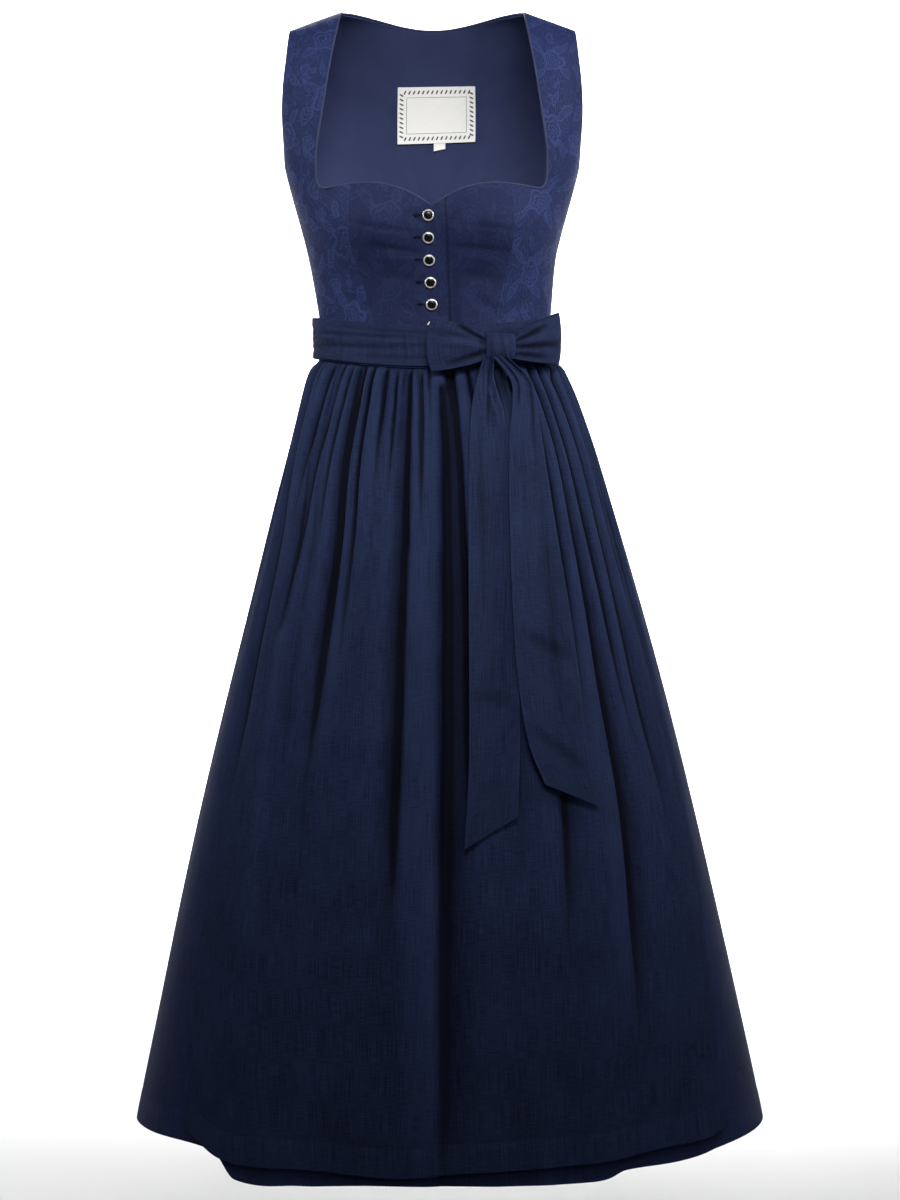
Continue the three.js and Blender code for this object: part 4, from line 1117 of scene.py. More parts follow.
@dataclass(frozen=True)
class Bodice:
    """The bodice: two centre fronts that lap, two side fronts with their straps, and a back of three."""

    wall: float = 2.0
    lining_wall: float = 1.0
    seam_gap: float = -0.4
    layer_gap: float = 0.4
    side_seam: float = 170.0
    front_turn: float = -252.0
    back_turn: float = -222.0
    nape: float = -7.5
    lap_top: float = 9.0
    lap_bottom: float = 15.0
    under: float = -12.0
    lap_start: float = 3.0
    lap_slope: float = 12.0
    lap_fall: float = 0.3
    seam_rows: int = 7
    piping_radius: float = 1.1
    piping_off: float = 1.6
    round_half: float = 150.0
    round_deep: float = 98.0
    panel_start: float = 31.0
    # How deep the creases press in, how deep a crease is where its painted shade is full, and the width of the
    # painted shadow beside the lap.
    crease_deep: float = 1.3
    crease_dark: float = 3.4
    lap_shade: float = 1.3
    steps: int = 6
    rows: int = 90
    side_columns: int = 36

    neckline: Places = (
        (0, -217), (22, -204), (45, -196), (65, -193.5), (82, -194), (97, -195.6), (109, -197),
        (115, -195.2), (118.7, -190), (120.5, -180), (120.5, -160), (117.5, -136), (113.5, -110),
    )
    armhole: Places = (
        (170, -230), (170, -210), (170, -192), (170, -178), (170, -168), (155.6, -161), (156.2, -140),
        (157.3, -110),
    )
    strap: tuple[tuple[float, float, float], ...] = (
        (20, 108.3, 156), (38, 103.6, 154), (56, 100, 152.6), (74, 98, 151.4), (90, 97, 150.5),
    )
    front_seam: Table = Table(("level", "off"), ((-380, 60), (-335, 63), (-287, 74), (-245, 84), (-194, 82)))
    back_seam: Places = (
        (40, -352), (42, -300), (46, -240), (51, -190), (58, -155), (69, -125), (84, -100), (101, -80),
        (117, -66), (130, -57),
    )
    back_armhole: Places = (
        (170, -168), (154.8, -161), (151.5, -142), (146, -115), (141, -84), (137.5, -56),
    )
    back_shoulder: Places = ((139, -52), (143, -31), (147, -12), (150.5, 0))

    # Creases by x and z on the front: under the cups, beside the buttons and above the band.
    creases: tuple[Crease, ...] = creases_of(
        (-74, -256, -10, -265, 3.4, 0.9), (-66, -268, -14, -273, 3.6, -0.45),
        (-82, -236, -24, -244, 3.0, 0.7), (12, -257, 80, -263, 3.4, 0.8), (20, -268, 70, -273, 3.6, -0.45),
        (24, -236, 86, -242, 3.0, 0.6), (-60, -286, -14, -290, 6.0, 0.8), (20, -284, 66, -290, 6.0, 0.7),
        (-96, -300, -58, -326, 6.0, 0.9), (98, -304, 60, -328, 6.0, 0.9), (-104, -232, -88, -290, 7.0, 0.9),
        (104, -228, 92, -292, 7.0, 0.9), (-30, -222, -9, -236, 4.5, 0.7), (34, -216, 14, -234, 5.0, 0.6),
        (-128, -176, -104, -206, 7.0, 1.0), (122, -174, 98, -208, 7.0, 1.0),
        (-46, -312, -20, -324, 5.0, 0.6), (40, -308, 66, -322, 5.0, 0.7), (-136, -120, -118, -150, 7.0, 0.6),
        (130, -112, 112, -146, 7.0, 0.6),
    )
    # Creases by x and z on the back: at the small of the back and under the shoulder blades.
    back_creases: tuple[Crease, ...] = creases_of(
        (-78, -286, -20, -300, 7.0, 1.3), (84, -278, 26, -296, 7.0, 1.2), (-50, -318, 14, -322, 6.0, 1.0),
        (70, -312, 18, -328, 5.0, 0.8), (-112, -196, -86, -250, 8.0, 1.2), (112, -190, 84, -240, 8.0, 1.1),
        (-34, -60, 30, -66, 9.0, 0.8), (-24, -200, 16, -270, 9.0, 0.7),
    )

    def seam_bottom(self) -> float:
        """Find the lower end of the princess seam, at the waist."""
        return float(FORM.front_waist(self.front_seam.read(FORM.waist, "off")))

    def seam_off(self, share: Array | float) -> Array:
        """Find the princess seam's offset at a share of its height."""
        level = lerp(self.seam_bottom(), self.neckline[4][1], share)
        return self.front_seam.read(level, "off")

    def cup_top(self, off: Array) -> Array:
        """Find the upper edge of a centre front, which runs on downwards past the V."""
        edge = Table(("off", "level"), self.neckline[:5])
        return edge.read(np.maximum(off, 0), "level") + np.minimum(off, 0) * self.lap_fall

    def lap_edge(self, share: Array | float) -> Array:
        """Find the offset of the lap's edge at a share of the height."""
        return lerp(self.lap_bottom, self.lap_top, share)

    def centre_front(self, side: float, left: Edge, right: Edge, columns: int) -> Array:
        """Lay out a centre front between two edges, from the waist up to the neckline.

        Args:
            side: -1 for the wearer's right and 1 for the left.
            left: the offset of its edge on -X by height.
            right: the offset of its edge on +X by height.
            columns: steps across.

        Returns:
            The outer face.
        """
        u, v = shares(columns, self.rows)
        off = lerp(left(v), right(v), u)
        bottom = FORM.front_waist(lerp(left(0.0), right(0.0), u))
        top = self.cup_top(side * lerp(left(1.0), right(1.0), u))
        return FORM.bodice_front(off, lerp(bottom, top, v))

    def left_front(self, columns: int, start: float) -> Array:
        """Lay out the left centre front, pressed in under the lap by the right one's wall.

        Args:
            columns: steps across.
            start: the offset of its edge under the lap.

        Returns:
            The outer face.
        """
        grid = self.centre_front(1, lambda v: start + 0 * np.asarray(v), self.centre_seam, columns)
        share = np.linspace(0, 1, self.rows + 1)[:, None]
        beyond = (grid[..., 0] - self.lap_edge(share) - self.lap_start) / self.lap_slope
        grid[..., 1] += (self.wall + self.layer_gap * 2) * (1 - smooth(beyond, 0, 1))
        return grid

    def centre_seam(self, share: Array | float) -> Array:
        """Find the centre front's edge at the princess seam."""
        return self.seam_off(share) - self.seam_gap / 2

    def side_rows(self) -> Rows:
        """List the side front's rows: inner offset and level, outer offset and level."""
        rows = []
        for row in range(self.seam_rows + 1):
            share = row / self.seam_rows
            level = lerp(self.seam_bottom(), self.neckline[4][1], share)
            rows.append((float(self.front_seam.read(level, "off")), level, self.side_seam,
                         lerp(FORM.waist, self.front_turn, share)))
        rows += [(*inner, *outer) for inner, outer in zip(self.neckline[5:], self.armhole)]
        for turn, inner, outer in self.strap:
            level = FORM.arch_height * (math.sin(math.radians(turn)) - 1)
            rows.append((inner, level, outer, level))
        return rows

    def back_rows(self) -> Rows:
        """List the side back's rows: inner offset and level, outer offset and level."""
        seam = [(self.side_seam, lerp(FORM.waist, self.back_turn, share / 3)) for share in range(4)]
        return [(*inner, *outer) for inner, outer in zip(self.back_seam, seam + list(self.back_armhole))]

    def side(self, rows: Rows, half: float, columns: int, after: Rows = (),
             gap: float | None = None) -> Array:
        """Lay out a side panel between its inner and outer edge, on the wearer's left.

        The angle round the form and the level both go straight from one edge to the other.

        Args:
            rows: the edges' rows.
            half: -1 for the front and 1 for the back.
            columns: steps across.
            after: a row past the last, for the edges' slopes alone.
            gap: how far the inner edge stays off the seam, half the gap if it isn't given.

        Returns:
            The outer face.
        """
        edge = numbered(("inner", "inner_level", "outer", "outer_level"), [*rows, *after])
        last = len(rows) - 1
        u, row = shares(columns, last * self.steps, last)
        share = u if half < 0 else 1 - u
        gap = self.seam_gap / 2 if gap is None else gap
        inner_level, outer_level = edge.read(row, "inner_level"), edge.read(row, "outer_level")
        outer_form = Section.of(BODICE, outer_level)
        outer_off = np.minimum(edge.read(row, "outer"), outer_form.half)
        inner_angle = Section.of(BODICE, inner_level).front_angle(edge.read(row, "inner") + gap)
        outer_angle = outer_form.front_angle(outer_off)
        angle = -half * lerp(inner_angle, outer_angle, share)
        sag = FORM.dip(angle) - lerp(FORM.dip(-half * inner_angle), 0, share)
        level = lerp(inner_level, outer_level, share) - sag * np.clip(1 - row / self.seam_rows, 0, 1)
        grid = FORM.bodice(angle, level)
        grid[..., 1] = half * np.maximum(half * grid[..., 1], 0.0)
        return grid

    def back_centre(self, columns: int) -> Array:
        """Lay out the back between its curved seams, with both back straps and the dipping neck edge.

        Args:
            columns: steps across.

        Returns:
            The outer face.
        """
        rows = self.back_seam + self.back_shoulder
        edge = numbered(("off", "level"), rows)
        last = len(rows) - 1
        u, row = shares(columns, last * self.steps, last)
        signed = 1 - 2 * u
        level, off = edge.read(row, "level"), (edge.read(row, "off") - self.seam_gap / 2) * signed
        middle = lerp(FORM.waist, self.nape, row / last)
        blend = smooth(np.abs(signed), 0, FORM.strap_inner / FORM.strap_outer)
        grid = FORM.bodice_back(off, lerp(middle, level, blend))
        grid[..., 1] = np.maximum(grid[..., 1], np.where(row > last - 1, 0.0, -np.inf))
        return grid

    def mirror(self, grid: Array) -> Array:
        """Copy a grid of the wearer's left to the right, keeping its columns' way."""
        turned_grid = grid[:, ::-1].copy()
        turned_grid[..., 0] = 2 * BODICE.read(turned_grid[..., 2], "shift") - turned_grid[..., 0]
        return turned_grid

    def figured(self, grid: Array, start: float) -> Array:
        """Find where each point lies on the figured cloth, in millimetres.

        Across, it is the run along a plain ellipse to the point's share of the half width. Up, it is the
        height, and over the shoulder the run along the arch.

        Args:
            grid: a panel's outer face.
            start: how far up the cloth the panel was cut.

        Returns:
            The places on the cloth.
        """
        level = np.minimum(grid[..., 2], 0)
        share = (grid[..., 0] - BODICE.read(level, "shift")) / BODICE.read(level, "half")
        turn = np.linspace(-math.pi / 2, math.pi / 2, 361)
        arc = np.hypot(self.round_half * np.cos(turn), self.round_deep * np.sin(turn))
        run = np.cumsum(arc) * (turn[1] - turn[0])
        across = np.interp(np.arcsin(np.clip(share, -1, 1)), turn, run)
        above = level + FORM.arch_height
        over = FORM.arch_height * np.arcsin(np.clip(above / FORM.arch_height, 0, 1))
        return np.stack([across, np.minimum(above, 0) + over + start], -1)

    def wear_and_crease_shade(self, name: str, grid: Array, creases: Sequence[Crease], start: float,
             shadow: Array | float = 0.0) -> Cloth:
        """Press the creases into a panel and mark painted shade in them for its finish.

        Args:
            name: the piece's name.
            grid: its outer face.
            creases: its creases by x and z.
            start: how far up the figured cloth it was cut.
            shadow: a shade to mark beside the creases.

        Returns:
            The panel.
        """
        deep = self.crease_deep * pressed(grid[..., 0], grid[..., 2], creases)
        # Painted shade: darker where the creases press deepest and beside the lap's edge.
        marks = {"fold": np.clip(deep / self.crease_dark + shadow, 0, 1)}
        return Cloth(name, grid, self.wall, marks=marks, figured=self.figured(grid, start)).pushed(-deep)

    def lap_shadow(self, grid: Array) -> Array:
        """Find the line of shade on the left front beside the lap's edge."""
        share = np.linspace(0, 1, grid.shape[0])[:, None]
        return bell((grid[..., 0] - self.lap_edge(share) - self.lap_shade) / self.lap_shade)

    def beside(self, points: Array, normals: Array) -> Array:
        """Find the line beside an edge on which its piping lies, half a wall in.

        Args:
            points: the edge.
            normals: its outward directions.

        Returns:
            The line.
        """
        heading = unit(np.gradient(points, axis=0))
        out = np.cross(normals, heading)
        return points + out * (self.piping_off - self.piping_radius * 0.6) - normals * (self.wall / 2)

    def piping_path(self, cup: Array) -> Array:
        """Follow the neckline from the V over the cup and up the strap, on the wearer's left.

        Args:
            cup: the centre front's outer face.

        Returns:
            The path.
        """
        strap = self.side(self.side_rows(), -1, 24, gap=0.0)
        first = self.seam_rows * self.steps + self.steps // 2
        cup_line = self.beside(cup[-1], face_normals(cup)[-1])
        strap_line = self.beside(strap[first:, 0], face_normals(strap)[first:, 0])
        path = np.concatenate([cup_line, strap_line])
        path[-1, 1] = -self.piping_off
        return softened(path, 3)

    def build_fronts(self) -> None:
        """Make both centre fronts and both side fronts."""
        right = self.centre_front(-1, lambda v: -self.centre_seam(v), self.lap_edge, 56)
        left = self.left_front(96, self.under)
        side = self.side(self.side_rows(), -1, self.side_columns)
        panels = {"bodice_front_right": right, "bodice_front_left": left,
                  "side_front_right": self.mirror(side), "side_front_left": side}
        for place, (node, grid) in enumerate(panels.items()):
            # Lighter cloth on the side fronts: partly a bolder figure, partly painted sheen at the sides.
            finish = FIGURED if node.startswith("side") else FAINT_FIGURED
            shadow = self.lap_shadow(grid) if grid is left else 0.0
            wear_and_crease_shade = self.wear_and_crease_shade(f"{node}_cloth", grid, self.creases, place * self.panel_start, shadow)
            settle_cloth(wear_and_crease_shade, finish, Slot.BODICE)

    def build_backs(self) -> None:
        """Make the three pieces of the back and their lining."""
        beyond = [(*self.back_shoulder[0], *self.back_armhole[-1])]
        left = self.side(self.back_rows(), 1, 30, beyond)
        panels = {"side_back_left": left, "side_back_right": self.mirror(left),
                  "back_centre": self.back_centre(96)}
        for place, (node, grid) in enumerate(panels.items()):
            wear_and_crease_shade = self.wear_and_crease_shade(f"{node}_cloth", grid, self.back_creases, place * self.panel_start + 15)
            settle_cloth(wear_and_crease_shade, FIGURED, Slot.BODICE)
            inner = wear_and_crease_shade.outer - wear_and_crease_shade.normals() * (self.wall + self.layer_gap)
            lining = Cloth(f"lining_{node}_cloth", inner, self.lining_wall)
            settle_cloth(lining, LINING, Slot.LINING)

    def build_piping(self) -> None:
        """Make the piping of the neckline: one tube to each shoulder and one across the nape."""
        start, columns = self.piping_off, 192
        left = self.piping_path(self.left_front(60, start))
        right = self.piping_path(
            self.centre_front(1, lambda v: start + 0 * np.asarray(v), self.centre_seam, 56))
        right[:, 0] = 2 * BODICE.read(right[:, 2], "shift") - right[:, 0]
        centre = self.back_centre(columns)
        reach = FORM.strap_inner / FORM.strap_outer - 0.012
        neck = np.abs(1 - 2 * np.linspace(0, 1, columns + 1)) <= reach
        nape = self.beside(centre[-1, neck], face_normals(centre)[-1, neck])
        for node, path in (("piping_front_left", left), ("piping_front_right", right), ("piping_back", nape)):
            settle(tube(f"{node}_tube", path, self.piping_radius, PIPING), Slot.PIPING, node)

    def build(self) -> None:
        """Make the whole bodice."""
        self.build_fronts()
        self.build_backs()
        self.build_piping()


def softened(path: Array, rounds: int) -> Array:
    """Round a path's corners: each inner point becomes half itself and a quarter of both neighbours."""
    for _ in range(rounds):
        path = np.concatenate([path[:1], path[1:-1] * 0.5 + (path[:-2] + path[2:]) * 0.25, path[-1:]])
    return path


# The skirt and the apron.


class Side(Enum):
    """A half of the skirt."""

    FRONT = -1
    BACK = 1


@dataclass(frozen=True)
class Fold:
    """A long fold by its angle from the middle of its half: a trough, or a ridge where deep is below zero."""

    top: float
    low: float
    wide: float
    deep: float
    start: float
    end: float
    lean: float = 1.0


def folds_of(*rows: tuple[float, ...]) -> tuple[Fold, ...]:
    """Make folds of the rows of a table."""
    return tuple(Fold(*row) for row in rows)


@dataclass(frozen=True)
class Skirt:
    """The gathered skirt, its front and back panel, and the apron over it."""

    wall: float = 1.6
    columns: int = 48
    apron_from: int = 5
    top: float = -352.5
    apron_top: float = -368.8
    dip_ends: float = -600.0
    fold_start: float = 16.0
    fold_fade: float = 180.0
    fold_spread: float = 0.8
    fold_steep: float = 2.6
    fold_flat: float = 0.72
    fold_power: float = 1.35
    gather_seeds: tuple[int, int] = (11, 23)
    gather_reach: float = 90.5
    gather_pitch: float = 4.6
    gather_stray: float = 1.3
    gather_deep: tuple[float, float] = (3.0, 6.5)
    gather_wide: tuple[float, float] = (1.1, 1.9)
    gather_long: tuple[float, ...] = (50.0, 80.0, 120.0, 190.0, 300.0)
    gather_vary: tuple[float, float] = (0.8, 1.25)
    gather_drift: float = 3.0
    gather_starts: tuple[float, float] = (366.0, 378.0)
    near_reach: float = 2.2
    wide_reach: float = 6.4
    # The painted shadow of the knot on the apron: its x, width, z and height.
    knot_shade: tuple[float, float, float, float] = (66.0, 13.0, -388.0, 26.0)
    hem_form: float = -1170.0
    back_hem_drop: float = 12.0
    hem_turn: float = 28.0
    hem_thick: float = 0.35
    row_power: float = 1.25

    # Shade in the hollows near by and in the wide ones: where it starts, what it spans and the most of it.
    near_shade: tuple[float, float, float] = (0.2, 1.4, 0.75)
    wide_shade: tuple[float, float, float] = (0.4, 4.2, 0.65)

    apron_edge: Table = Table(("level", "right", "left"), (
        (-368, 16, 12), (-463, 14, 12), (-557, 21, 16), (-690, 24, 20), (-830, 28, 21), (-990, 32, 28),
        (-1080, 35.5, 32), (-1195, 40.5, 35),
    ))
    gather: Table = Table(("level", "high", "lift"), (
        (-352, 0.2, 0.6), (-369, 0.6, 0.6), (-376, 2.0, 0.7), (-400, 3.0, 0.9), (-450, 2.8, 1.2),
        (-540, 1.5, 1.6), (-700, 0.5, 2.2), (-1195, 0.3, 3.5),
    ))
    front_folds: tuple[Fold, ...] = folds_of(
        (-43, -56, 2.8, 9, -366, -680), (-31.5, -36, 2.8, 14, -366, -800),
        (-19.5, -21, 2.0, 7, -366, -540, -1), (-9, -12, 1.7, 13, -366, -960),
        (-7.5, -6.2, 3.4, -5, -560, -1230), (1.0, -1.8, 2.9, 14, -380, -1230, -1),
        (5.5, 4.8, 1.3, 9, -366, -900), (17, 15, 2.6, 7, -370, -900), (29, 25, 2.4, 8, -370, -1000, -1),
        (41.5, 44.5, 2.6, 15, -366, -1080, -1), (54, 60, 3.0, 7, -376, -900, -1),
        (-52, -50, 4.0, -5, -640, -1060), (-64, -66, 3.2, 7, -376, -860), (-50, -60, 1.6, 6, -366, -600),
        (-37.5, -44, 1.2, 6, -366, -620), (-26, -29, 1.2, 7, -366, -700),
        (-15, -16.5, 1.1, 6, -366, -560, -1), (-4.5, -6, 1.1, 6, -366, -600),
        (11, 9.5, 1.2, 6, -366, -640, -1), (22, 20, 1.2, 6, -366, -600), (35, 35, 1.4, 7, -366, -760, -1),
        (47, 52, 1.4, 7, -366, -800, -1), (61, 66, 1.6, 6, -366, -700, -1), (-23.5, -25, 1.0, 4, -366, -470),
        (-12, -13, 0.9, 4, -366, -460, -1), (-1.5, -3, 0.9, 4, -366, -450),
    )
    back_folds: tuple[Fold, ...] = folds_of(
        (-78, -74, 3.2, 6, -372, -900), (-62, -64, 2.6, 10, -366, -760, -1), (-48, -45, 3.4, 9, -368, -1120),
        (-33, -36, 2.4, 12, -366, -820, -1), (-19, -20, 3.2, 8, -368, -1000), (-5, -3, 2.6, 12, -366, -1230),
        (8, 11, 2.2, 8, -366, -700, -1), (21, 20, 3.4, 11, -368, -940), (37, 41, 2.8, 9, -366, -1180, -1),
        (52, 50, 2.4, 11, -368, -720), (67, 70, 3.6, 8, -370, -980, -1), (80, 79, 2.8, 6, -372, -840),
        (-71, -72, 1.6, 6, -366, -620), (-55, -57, 1.5, 7, -366, -700), (-41, -43, 1.4, 6, -366, -600, -1),
        (-26, -28, 1.5, 7, -366, -680), (-12, -12, 1.3, 6, -366, -560, -1), (2, 4, 1.4, 6, -366, -640),
        (15, 15, 1.3, 6, -366, -580, -1), (29, 31, 1.5, 7, -366, -740), (44, 46, 1.4, 6, -366, -620, -1),
        (59, 62, 1.6, 7, -366, -700), (73, 75, 1.6, 6, -366, -600, -1),
    )
    skirt_hem: Table = Table(("off", "level"), (
        (-335, -1164), (-237, -1164), (-215, -1189), (-145, -1188), (-75, -1184), (135, -1184), (155, -1182),
        (173, -1175), (235, -1173), (285, -1166), (335, -1164),
    ))
    apron_hem: Table = Table(("off", "level"), (
        (-277, -1138), (-255, -1152), (-231, -1168), (-205, -1173), (-135, -1171), (-55, -1175), (25, -1170),
        (105, -1166), (155, -1164), (205, -1157), (260, -1154), (285, -1143),
    ))

    def fold_depth(self, side: Side, degrees: Array, level: Array) -> Array:
        """Add up the long folds: across each a cusp with a steep and a flat flank.

        Each goes straight down and spreads out on its way. Its depth is deep · exp(-|across|^1.35).

        Args:
            side: the half of the skirt.
            degrees: the columns' places, 0 in the middle and 90 at either side.
            level: the height.

        Returns:
            The depth, inwards.
        """
        total = np.zeros(np.broadcast(degrees, level).shape)
        for fold in self.front_folds if side is Side.FRONT else self.back_folds:
            run = np.clip((level - fold.start) / (fold.end - fold.start), 0, 1)
            across = (degrees - lerp(fold.top, fold.low, run)) / (fold.wide * (1 + self.fold_spread * run))
            if fold.deep > 0:
                across = across * np.where(across * fold.lean > 0, self.fold_steep, self.fold_flat)
            started = smooth(-level, -fold.start, -fold.start + self.fold_start)
            ended = 1 - smooth(-level, -fold.end - self.fold_fade, -fold.end)
            total += fold.deep * fall(across, self.fold_power if fold.deep > 0 else 2.0) * started * ended
        return total

    def gathers(self, side: Side, degrees: Array, level: Array) -> Array:
        """Add up the small gathers below the band: narrow troughs of uneven place, depth, width and length.

        Args:
            side: the half of the skirt.
            degrees: the columns' places, 0 in the middle and 90 at either side.
            level: the height.

        Returns:
            The depth, inwards.
        """
        rng = np.random.default_rng(self.gather_seeds[side is Side.BACK])
        places = np.arange(-90.0, self.gather_reach, self.gather_pitch)
        places = places + rng.uniform(-self.gather_stray, self.gather_stray, len(places))
        started = smooth(-level, *self.gather_starts)
        below = np.clip(-level + self.apron_top, 0, None)
        total = np.zeros(np.broadcast(degrees, level).shape)
        for place in places:
            deep, wide = rng.uniform(*self.gather_deep), rng.uniform(*self.gather_wide)
            long = rng.choice(self.gather_long) * rng.uniform(*self.gather_vary)
            drift = rng.uniform(-self.gather_drift, self.gather_drift)
            across = (degrees - place - drift * np.clip(below / 300, 0, 1)) / wide
            total += deep * fall(across, 1.5) * (started * fall(below / long, 1.6))
        return total - 1.5 * started * fall(np.clip(-level - 368, 0, None) / 90, 1.4)

    def column_angle(self, side: Side, columns: Array, level: Array | float) -> Array:
        """Turn columns into angles: at the front the apron's edges move away from the sides lower down.

        Args:
            side: the half of the skirt.
            columns: the columns, the first and the last at the sides.
            level: the height.

        Returns:
            The angles.
        """
        if side is Side.BACK:
            return columns * math.pi / self.columns + 0 * level
        step = math.pi / self.columns
        plain, edge_at = columns * step, self.apron_from * step
        on_right = plain < math.pi / 2
        from_side = np.minimum(plain, math.pi - plain)
        right, left = (self.apron_edge.read(level, name) for name in ("right", "left"))
        edge = np.radians(np.where(on_right, right, left))
        past = (math.pi / 2 - from_side) / (math.pi / 2 - edge_at)
        share = np.where(from_side < edge_at, from_side / edge_at, past)
        return -math.pi + plain + np.where(on_right, 1, -1) * (edge - edge_at) * share

    def hem(self, side: Side, angle: Array, apron: bool) -> Array:
        """Find the hem's level at an angle, on the skirt or on its apron."""
        if side is Side.BACK:
            return self.skirt_hem.rows[0][1] - self.back_hem_drop * np.sin(angle) ** 1.5
        off, _ = Section.of(SKIRT, self.hem_form).point(angle)
        return (self.apron_hem if apron else self.skirt_hem).read(off, "level")

    def levels(self, low: Array, top: float, rows: int) -> Array:
        """Space a panel's rows from the hem up to its top, with close ones where the hem is turned.

        Args:
            low: the hem's level in each column.
            top: the top's level.
            rows: steps down to the turned hem.

        Returns:
            The rows' levels.
        """
        turn = low + self.hem_turn
        down = np.linspace(0, 1, rows + 1) ** self.row_power
        upper = lerp(top, (turn + 1.2)[None, :], down[:, None])
        lower = np.stack([turn, turn - 1.2, lerp(turn, low, 0.35), lerp(turn, low, 0.7), low + 1.0, low])
        return np.concatenate([upper, lower])[::-1]

    def panel(self, name: str, side: Side, columns: Array, rows: int, apron: bool = False) -> Cloth:
        """Lay out a panel on the skirt's form, moved out by its folds.

        Its columns follow angles round the form, and its rows go straight down from the waist to the hem.

        Args:
            name: the piece's name.
            side: its half of the skirt.
            columns: its columns, where 0 and 48 are the sides.
            rows: steps down to the hem.
            apron: whether it is the apron.

        Returns:
            The panel.
        """
        hem_angle = self.column_angle(side, columns, self.hem_form)
        low = self.hem(side, hem_angle, apron)
        level = self.levels(low, self.apron_top if apron else self.top, rows)
        angle = self.column_angle(side, columns[None, :], level)
        form = Section.of(SKIRT, level)
        off, y = form.point(angle)
        degrees = np.broadcast_to(columns * 180 / self.columns - 90, level.shape)
        deep = self.fold_depth(side, degrees, level) + self.gathers(side, degrees, level)
        lift = self.gather.read(level, "lift") + self.wall if apron else 0.0
        fade = 1 - smooth(-level, -FORM.waist, -self.dip_ends)
        from_hem = level - low[None, :]
        turned_hem = 1 - smooth(from_hem, self.hem_turn - 0.6, self.hem_turn + 0.6)
        sewn = bell(from_hem - self.hem_turn)
        ripple = np.sin(columns * 1.3 + 2 * np.sin(columns * 0.45))[None, :] * smooth(-level, 900, 1190)
        out = lift - deep + self.hem_thick * turned_hem - self.hem_thick * sewn + 0.5 * ripple
        grid = np.stack([off + form.shift, y, level - FORM.dip(angle) * fade], -1)
        grid = grid + form.normal(angle) * out[..., None]
        grid[..., 1] = side.value * np.maximum(side.value * grid[..., 1], 0.0)
        pitch = float(degrees[0, 1] - degrees[0, 0])
        # Painted shade in the hollows between folds and gathers, fainter towards the hem.
        near_by = hollow(out, max(1, round(self.near_reach / pitch)))
        low_by = hollow(out, max(2, round(self.wide_reach / pitch)))
        fold = ramp(near_by, *self.near_shade) + ramp(low_by, *self.wide_shade)
        fold *= lerp(1.0, 0.5, smooth(-level, 720, 1050))
        if apron:
            # Painted shadow of the knot and the tie ends on the apron below them.
            x, wide, z, high = self.knot_shade
            fold += 0.8 * np.exp(-(((grid[..., 0] - x) / wide) ** 2) - ((grid[..., 2] - z) / high) ** 2)
        elif side is Side.FRONT:
            # Painted shadow on the skirt just below the apron's hem.
            covered = self.hem(side, hem_angle, True)[None, :]
            within = smooth(90 - np.abs(degrees), 16.0, 20.0)
            fold += 0.75 * within * bell((level - covered + 3.0) / 9.0)
        # Painted highlight: lighter on the turned hem and on ridges that stand above their neighbours, carried
        # by the hem mark.
        raised = np.clip(turned_hem * 0.35 + np.clip(-low_by / 2.6, 0, 1), 0, 1)
        return Cloth(name, grid, self.wall, Grain.GATHERED, {"fold": np.clip(fold, 0, 1), "hem": raised})

    def build(self) -> None:
        """Make the two skirt panels and the apron, each with its hem stitching."""
        sides, edge = (0, self.columns), self.apron_from
        across = (edge, self.columns - edge)
        front = self.panel("skirt_front_cloth", Side.FRONT, np.linspace(*sides, 241), 120)
        back = self.panel("skirt_back_cloth", Side.BACK, np.linspace(*sides, 289), 130)
        apron = self.panel("apron_skirt_cloth", Side.FRONT, np.linspace(*across, 365), 124, apron=True)
        for piece, finish, slot in ((front, SKIRT_CLOTH, Slot.SKIRT), (back, SKIRT_CLOTH, Slot.SKIRT),
                                    (apron, APRON_CLOTH, Slot.APRON)):
            stitches = piece.name.replace("_cloth", "_hem_stitches")
            seam = settle(thread_run(stitches, [piece.line(5, 3.4)], 2.5, 0.3, NAVY_THREAD), slot)
            settle_cloth(piece, finish, slot)


# The waist and the bow.


